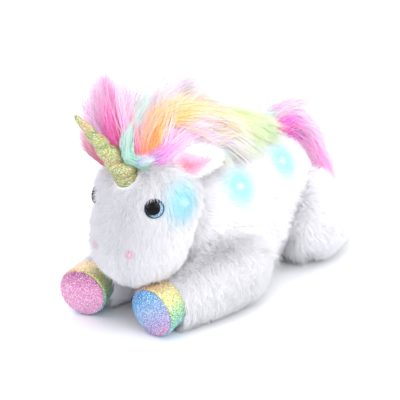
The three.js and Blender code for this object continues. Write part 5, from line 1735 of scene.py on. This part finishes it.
class NIGHT_LIGHT_OT_tail(bpy.types.Operator):
    """Tail: a plume of pink hair over a core, that rises off the rump and falls to the left"""
    bl_idname = "night_light.tail"
    bl_label = "Tail"

    def execute(self, context):
        p = pile()
        tail = tail_form()
        count = 5000
        inset = 8.5 * MM
        rng = np.random.default_rng(SEEDS["tail"])
        share = rng.uniform(0.02, 0.74, count) ** 1.1
        angle = rng.uniform(0, 2 * math.pi, count)
        roots = tail.at(share, angle, -inset * np.minimum(1, share * 3))
        outward = tail.normal(share, angle)
        stops = 4
        t = np.linspace(0, 1, stops)
        full_reach = p.tail * rng.uniform(0.7, 1.15, count)
        reach = full_reach * np.interp(share, [0, 0.2, 0.5, 0.8], [0.5, 0.9, 1, 0.7])
        ahead = share[:, None] + t[None] * (reach / tail.curve.length)[:, None]
        follow = tail.curve.at(np.minimum(ahead, 1.0))
        past = np.maximum(ahead - 1.0, 0)[..., None] * tail.curve.length * tail.curve.heading(np.array(1.0))
        offset = (roots - tail.curve.at(share))[:, None]
        lift = outward[:, None] * (reach[:, None] * (0.27 * t - 0.12 * t**2)[None])[..., None]
        stray = rng.normal(size=(count, 1, 3)) * (t**2)[None, :, None] * 2.6 * MM
        taper = (1.25 - 0.7 * np.clip(ahead, 0, 1) ** 3)[..., None]
        lines = follow + past + offset * taper + lift + stray
        above = outward @ np.array([0.35, 0.45, 0.82])
        row = np.where(above > 0.5, 0, np.where(above > -0.7, 1, 2))
        row = np.where(rng.uniform(size=count) < 0.12, rng.integers(0, 2, count), row)
        row = np.where((share < 0.13) & (above > 0.1), 3, row)
        tints = hair_tints(stops, [ROSE, HOT, VIOLET, AQUA], row)
        thickness = hair_thickness(rng, count)
        points, *faces = tail.closed(-9 * MM, sides=40, rows=30, cap_rows=6)
        core = piece_of("tail_core", points, *faces)
        give_tint(core, np.tile(linear("ee86cf")[:3], (len(points), 1)))
        cut(core, torso_form().closed(SEAM_GAP - p.inset, **CUTTER))
        finish_piece(core, hair_look(), replaced=("tail",))
        add_strands("tail_hair", lines, thickness, hair_look(), SEEDS["tail"], tints,
                    facing=hair_facing(lines))
        add_tufts("tail_locks", TAIL_TUFTS, SEEDS["tail_locks"])
        return {"FINISHED"}


class NIGHT_LIGHT_OT_pocket(bpy.types.Operator):
    """Belly pocket: the flap's cloth, and finishes for the battery module, the tapes and the wiring"""
    bl_idname = "night_light.pocket"
    bl_label = "Pocket and inner parts"

    def execute(self, context):
        white = plain_look("white_plastic", "eceff1", Roughness=0.45)
        steel = plain_look("contact_steel", "b8bcc0", Roughness=0.3, Metallic=1.0)
        jacket = plain_look("cell_jacket", "3c7a4f", 0.25, 0.012, Roughness=0.35)
        grey = plain_look("grey_plastic", "8f979c", Roughness=0.5)
        liner = plain_look("liner_cloth", "e9e6ee", 0.12, 0.0012, 0.0003, Roughness=0.95)
        tape = plain_look("hook_and_loop", "f2f2f2", 0.2, 0.0009, 0.0005, Roughness=0.9)
        wire = plain_look("wire_cover", "e6e6e6", Roughness=0.5)
        film = plain_look("glitter_film", "6fb6d8", 0.5, 0.0008, Roughness=0.3)
        looks = {"module_case": white, "battery_cover": white, "module_lid": white, "cover_screw": steel,
                 "circuit_board": board_look(), "switch_housing": grey, "push_button": grey,
                 "pocket_liner": liner, "hook_tape": tape, "loop_tape": tape, "wire_harness": wire}
        for k in (1, 2, 3):
            looks[f"battery_{k}"] = jacket
            looks[f"contact_plate_{k}"] = steel
            looks[f"contact_spring_{k}"] = steel
        lamp = lamp_look()
        for side_name in SIDES:
            looks[f"eye_glitter_{side_name}"] = film
            looks[f"eye_washer_{side_name}"] = white
            for spot in LAMP_SPOTS:
                looks[f"lamp_{spot}_{side_name}"] = lamp
        for name, look in looks.items():
            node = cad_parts[name]
            node.data.materials.clear()
            node.data.materials.append(look)
        self.add_flap()
        return {"FINISHED"}

    def add_flap(self):
        """The flap is a rounded slab: its outline is a superellipse of power 10, and its upper and lower
        faces close in on each other near the edge."""
        low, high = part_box("pocket_flap")
        middle = (np.array(low) + np.array(high)) / 2
        half = (np.array(high) - np.array(low)) / 2
        turn = np.arange(160) * 2 * math.pi / 160
        c, s = np.cos(turn), np.sin(turn)
        outline = np.stack([np.sign(c) * np.abs(c) ** 0.2, np.sign(s) * np.abs(s) ** 0.2], -1)
        steps = np.linspace(0, 1, 22)
        shrink = np.sin(steps * math.pi) ** 0.12
        shrink[[0, -1]] = 0.5
        height = -np.cos(steps * math.pi)
        rings = np.empty((len(steps), len(turn), 3))
        rings[..., 0] = middle[0] + half[0] * outline[:, 0] * shrink[:, None]
        rings[..., 1] = middle[1] + half[1] * outline[:, 1] * shrink[:, None]
        rings[..., 2] = middle[2] + half[2] * height[:, None] * 0.98
        ends = [middle + np.array([0, 0, sign * half[2] * 0.98]) for sign in (-1, 1)]
        flap = piece_of("pocket_flap_cloth", *closed_grid(rings, *ends))
        point_outwards(flap)
        finish_piece(flap, skin_look(), "flap", ("pocket_flap",))
        count, reach = 3600, 6 * MM
        rng = np.random.default_rng(SEEDS["flap"])
        spread = rng.uniform(-0.93, 0.93, (count, 2))
        roots = np.column_stack([middle[0] + spread[:, 0] * half[0], middle[1] + spread[:, 1] * half[1],
                                 np.full(count, low.z)])
        heading = unit(np.array([0, 0.8, -0.28]) + rng.normal(size=(count, 3)) * 0.16)
        lines = grown_lines(roots, np.full(count, reach), heading, stops=3)
        add_strands("pocket_flap_pile", lines, np.full(count, pile().thread),
                    white_pile_look(), SEEDS["flap"] + 1, body="flap")


# Stage

PHOTO_SIDE = 400
PHOTO_AZIMUTH = math.radians(35)
PHOTO_ELEVATION = math.radians(20)
PHOTO_DISTANCE = 1.1
PHOTO_TARGET = place(0, 0, 80)
# Where the target appears in the photograph, and how many of its pixels a metre takes there
TARGET_PIXEL = (224, 210)
PIXELS_PER_METRE = 860
WORLD_STRENGTH = 1.45
# Each light's name, place and side in metres, power in watts and colour
LIGHTS = [
    ("key", (1.25, -0.45, 0.95), 0.9, 5.2, "fffdf8"),
    ("top", (0.5, -0.15, 1.5), 0.9, 4.0, "ffffff"),
    ("low", (1.35, -0.1, 0.35), 0.7, 4.4, "ffffff"),
    ("rim", (0.5, 1.1, 1.0), 0.9, 2.0, "ffffff"),
    ("back", (-1.1, 0.6, 0.9), 0.9, 9.0, "ffffff"),
    ("front", (0.2, -1.4, 0.6), 0.15, 1.2, "f6f6ff"),
]


class NIGHT_LIGHT_OT_stage(bpy.types.Operator):
    """Stage: a pale floor, soft studio light and the photograph's camera"""
    bl_idname = "night_light.stage"
    bl_label = "Stage"

    def execute(self, context):
        scene = context.scene
        scene.view_settings.view_transform = "Standard"
        self.add_floor()
        self.add_camera(scene)
        world = bpy.data.worlds.new("studio")
        world.use_nodes = True
        background = world.node_tree.nodes["Background"].inputs
        background["Color"].default_value = linear("f4f5fb")
        background["Strength"].default_value = WORLD_STRENGTH
        scene.world = world
        for light in LIGHTS:
            self.add_light(*light)
        return {"FINISHED"}

    def add_floor(self):
        half = 8.0
        points = np.array([[-half, -half, 0], [half, -half, 0], [half, half, 0], [-half, half, 0]])
        floor = piece_of("studio_floor", points, np.array([[0, 1, 2, 3]]), smooth=False)
        look = Look("studio_floor", Roughness=0.7, Specular_IOR_Level=0.2)
        cloud = look.noise(0.6)
        look.set(Base_Color=look.mix(cloud.fade(0.2, 0.8), linear("eaebed"), linear("edeeef")))
        floor.data.materials.append(look.material)

    def add_camera(self, scene):
        camera_data = bpy.data.cameras.new("photo_camera")
        camera = bpy.data.objects.new("photo_camera", camera_data)
        scene.collection.objects.link(camera)
        a, e = PHOTO_AZIMUTH, PHOTO_ELEVATION
        back = Vector((math.sin(a) * math.cos(e), -math.cos(a) * math.cos(e), math.sin(e)))
        camera.location = Vector(PHOTO_TARGET) + back * PHOTO_DISTANCE
        camera.rotation_euler = (-back).to_track_quat("-Z", "Y").to_euler()
        camera_data.sensor_width = 36.0
        camera_data.lens = PIXELS_PER_METRE * PHOTO_DISTANCE / PHOTO_SIDE * camera_data.sensor_width
        camera_data.shift_x = (PHOTO_SIDE / 2 - TARGET_PIXEL[0]) / PHOTO_SIDE
        camera_data.shift_y = (TARGET_PIXEL[1] - PHOTO_SIDE / 2) / PHOTO_SIDE
        camera_data.clip_end = 50.0
        scene.camera = camera

    def add_light(self, name, where, size, power, code):
        light_data = bpy.data.lights.new(name, "AREA")
        light_data.size = size
        light_data.energy = power
        light_data.color = linear(code)[:3]
        light = bpy.data.objects.new(name, light_data)
        light.location = where
        light.rotation_euler = (Vector((0, 0, 0.08)) - light.location).to_track_quat("-Z", "Y").to_euler()
        bpy.context.scene.collection.objects.link(light)


class NIGHT_LIGHT_PT_panel(bpy.types.Panel):
    """Lists the pieces and their sizes"""
    bl_idname = "NIGHT_LIGHT_PT_panel"
    bl_label = "Plush Night Light"
    bl_space_type = "VIEW_3D"
    bl_region_type = "UI"
    bl_category = "Night Light"

    def draw(self, context):
        for group in (context.scene.night_light_sizes, context.scene.night_light_pile,
                      context.scene.night_light_colours):
            box = self.layout.box()
            for name in group.__annotations__:
                box.prop(group, name)
        for operator in OPERATORS:
            self.layout.operator(operator.bl_idname)


OPERATORS = (NIGHT_LIGHT_OT_torso, NIGHT_LIGHT_OT_head, NIGHT_LIGHT_OT_legs, NIGHT_LIGHT_OT_hooves,
             NIGHT_LIGHT_OT_horn, NIGHT_LIGHT_OT_ears, NIGHT_LIGHT_OT_face, NIGHT_LIGHT_OT_mane,
             NIGHT_LIGHT_OT_tail, NIGHT_LIGHT_OT_pocket, NIGHT_LIGHT_OT_stage)
GROUPS = {"night_light_sizes": NightLightSizes, "night_light_pile": NightLightPile,
          "night_light_colours": NightLightColours}


def register():
    for group in GROUPS.values():
        bpy.utils.register_class(group)
    for name, group in GROUPS.items():
        setattr(bpy.types.Scene, name, PointerProperty(type=group))
    for operator in OPERATORS:
        bpy.utils.register_class(operator)
    bpy.utils.register_class(NIGHT_LIGHT_PT_panel)


def unregister():
    bpy.utils.unregister_class(NIGHT_LIGHT_PT_panel)
    for operator in reversed(OPERATORS):
        bpy.utils.unregister_class(operator)
    for name, group in GROUPS.items():
        delattr(bpy.types.Scene, name)
        bpy.utils.unregister_class(group)


def main():
    register()
    bpy.ops.night_light.torso()
    bpy.ops.night_light.head()
    bpy.ops.night_light.legs()
    bpy.ops.night_light.hooves()
    bpy.ops.night_light.horn()
    bpy.ops.night_light.ears()
    bpy.ops.night_light.face()
    bpy.ops.night_light.mane()
    bpy.ops.night_light.tail()
    bpy.ops.night_light.pocket()
    bpy.ops.night_light.stage()


if __name__ == "__main__":
    main()
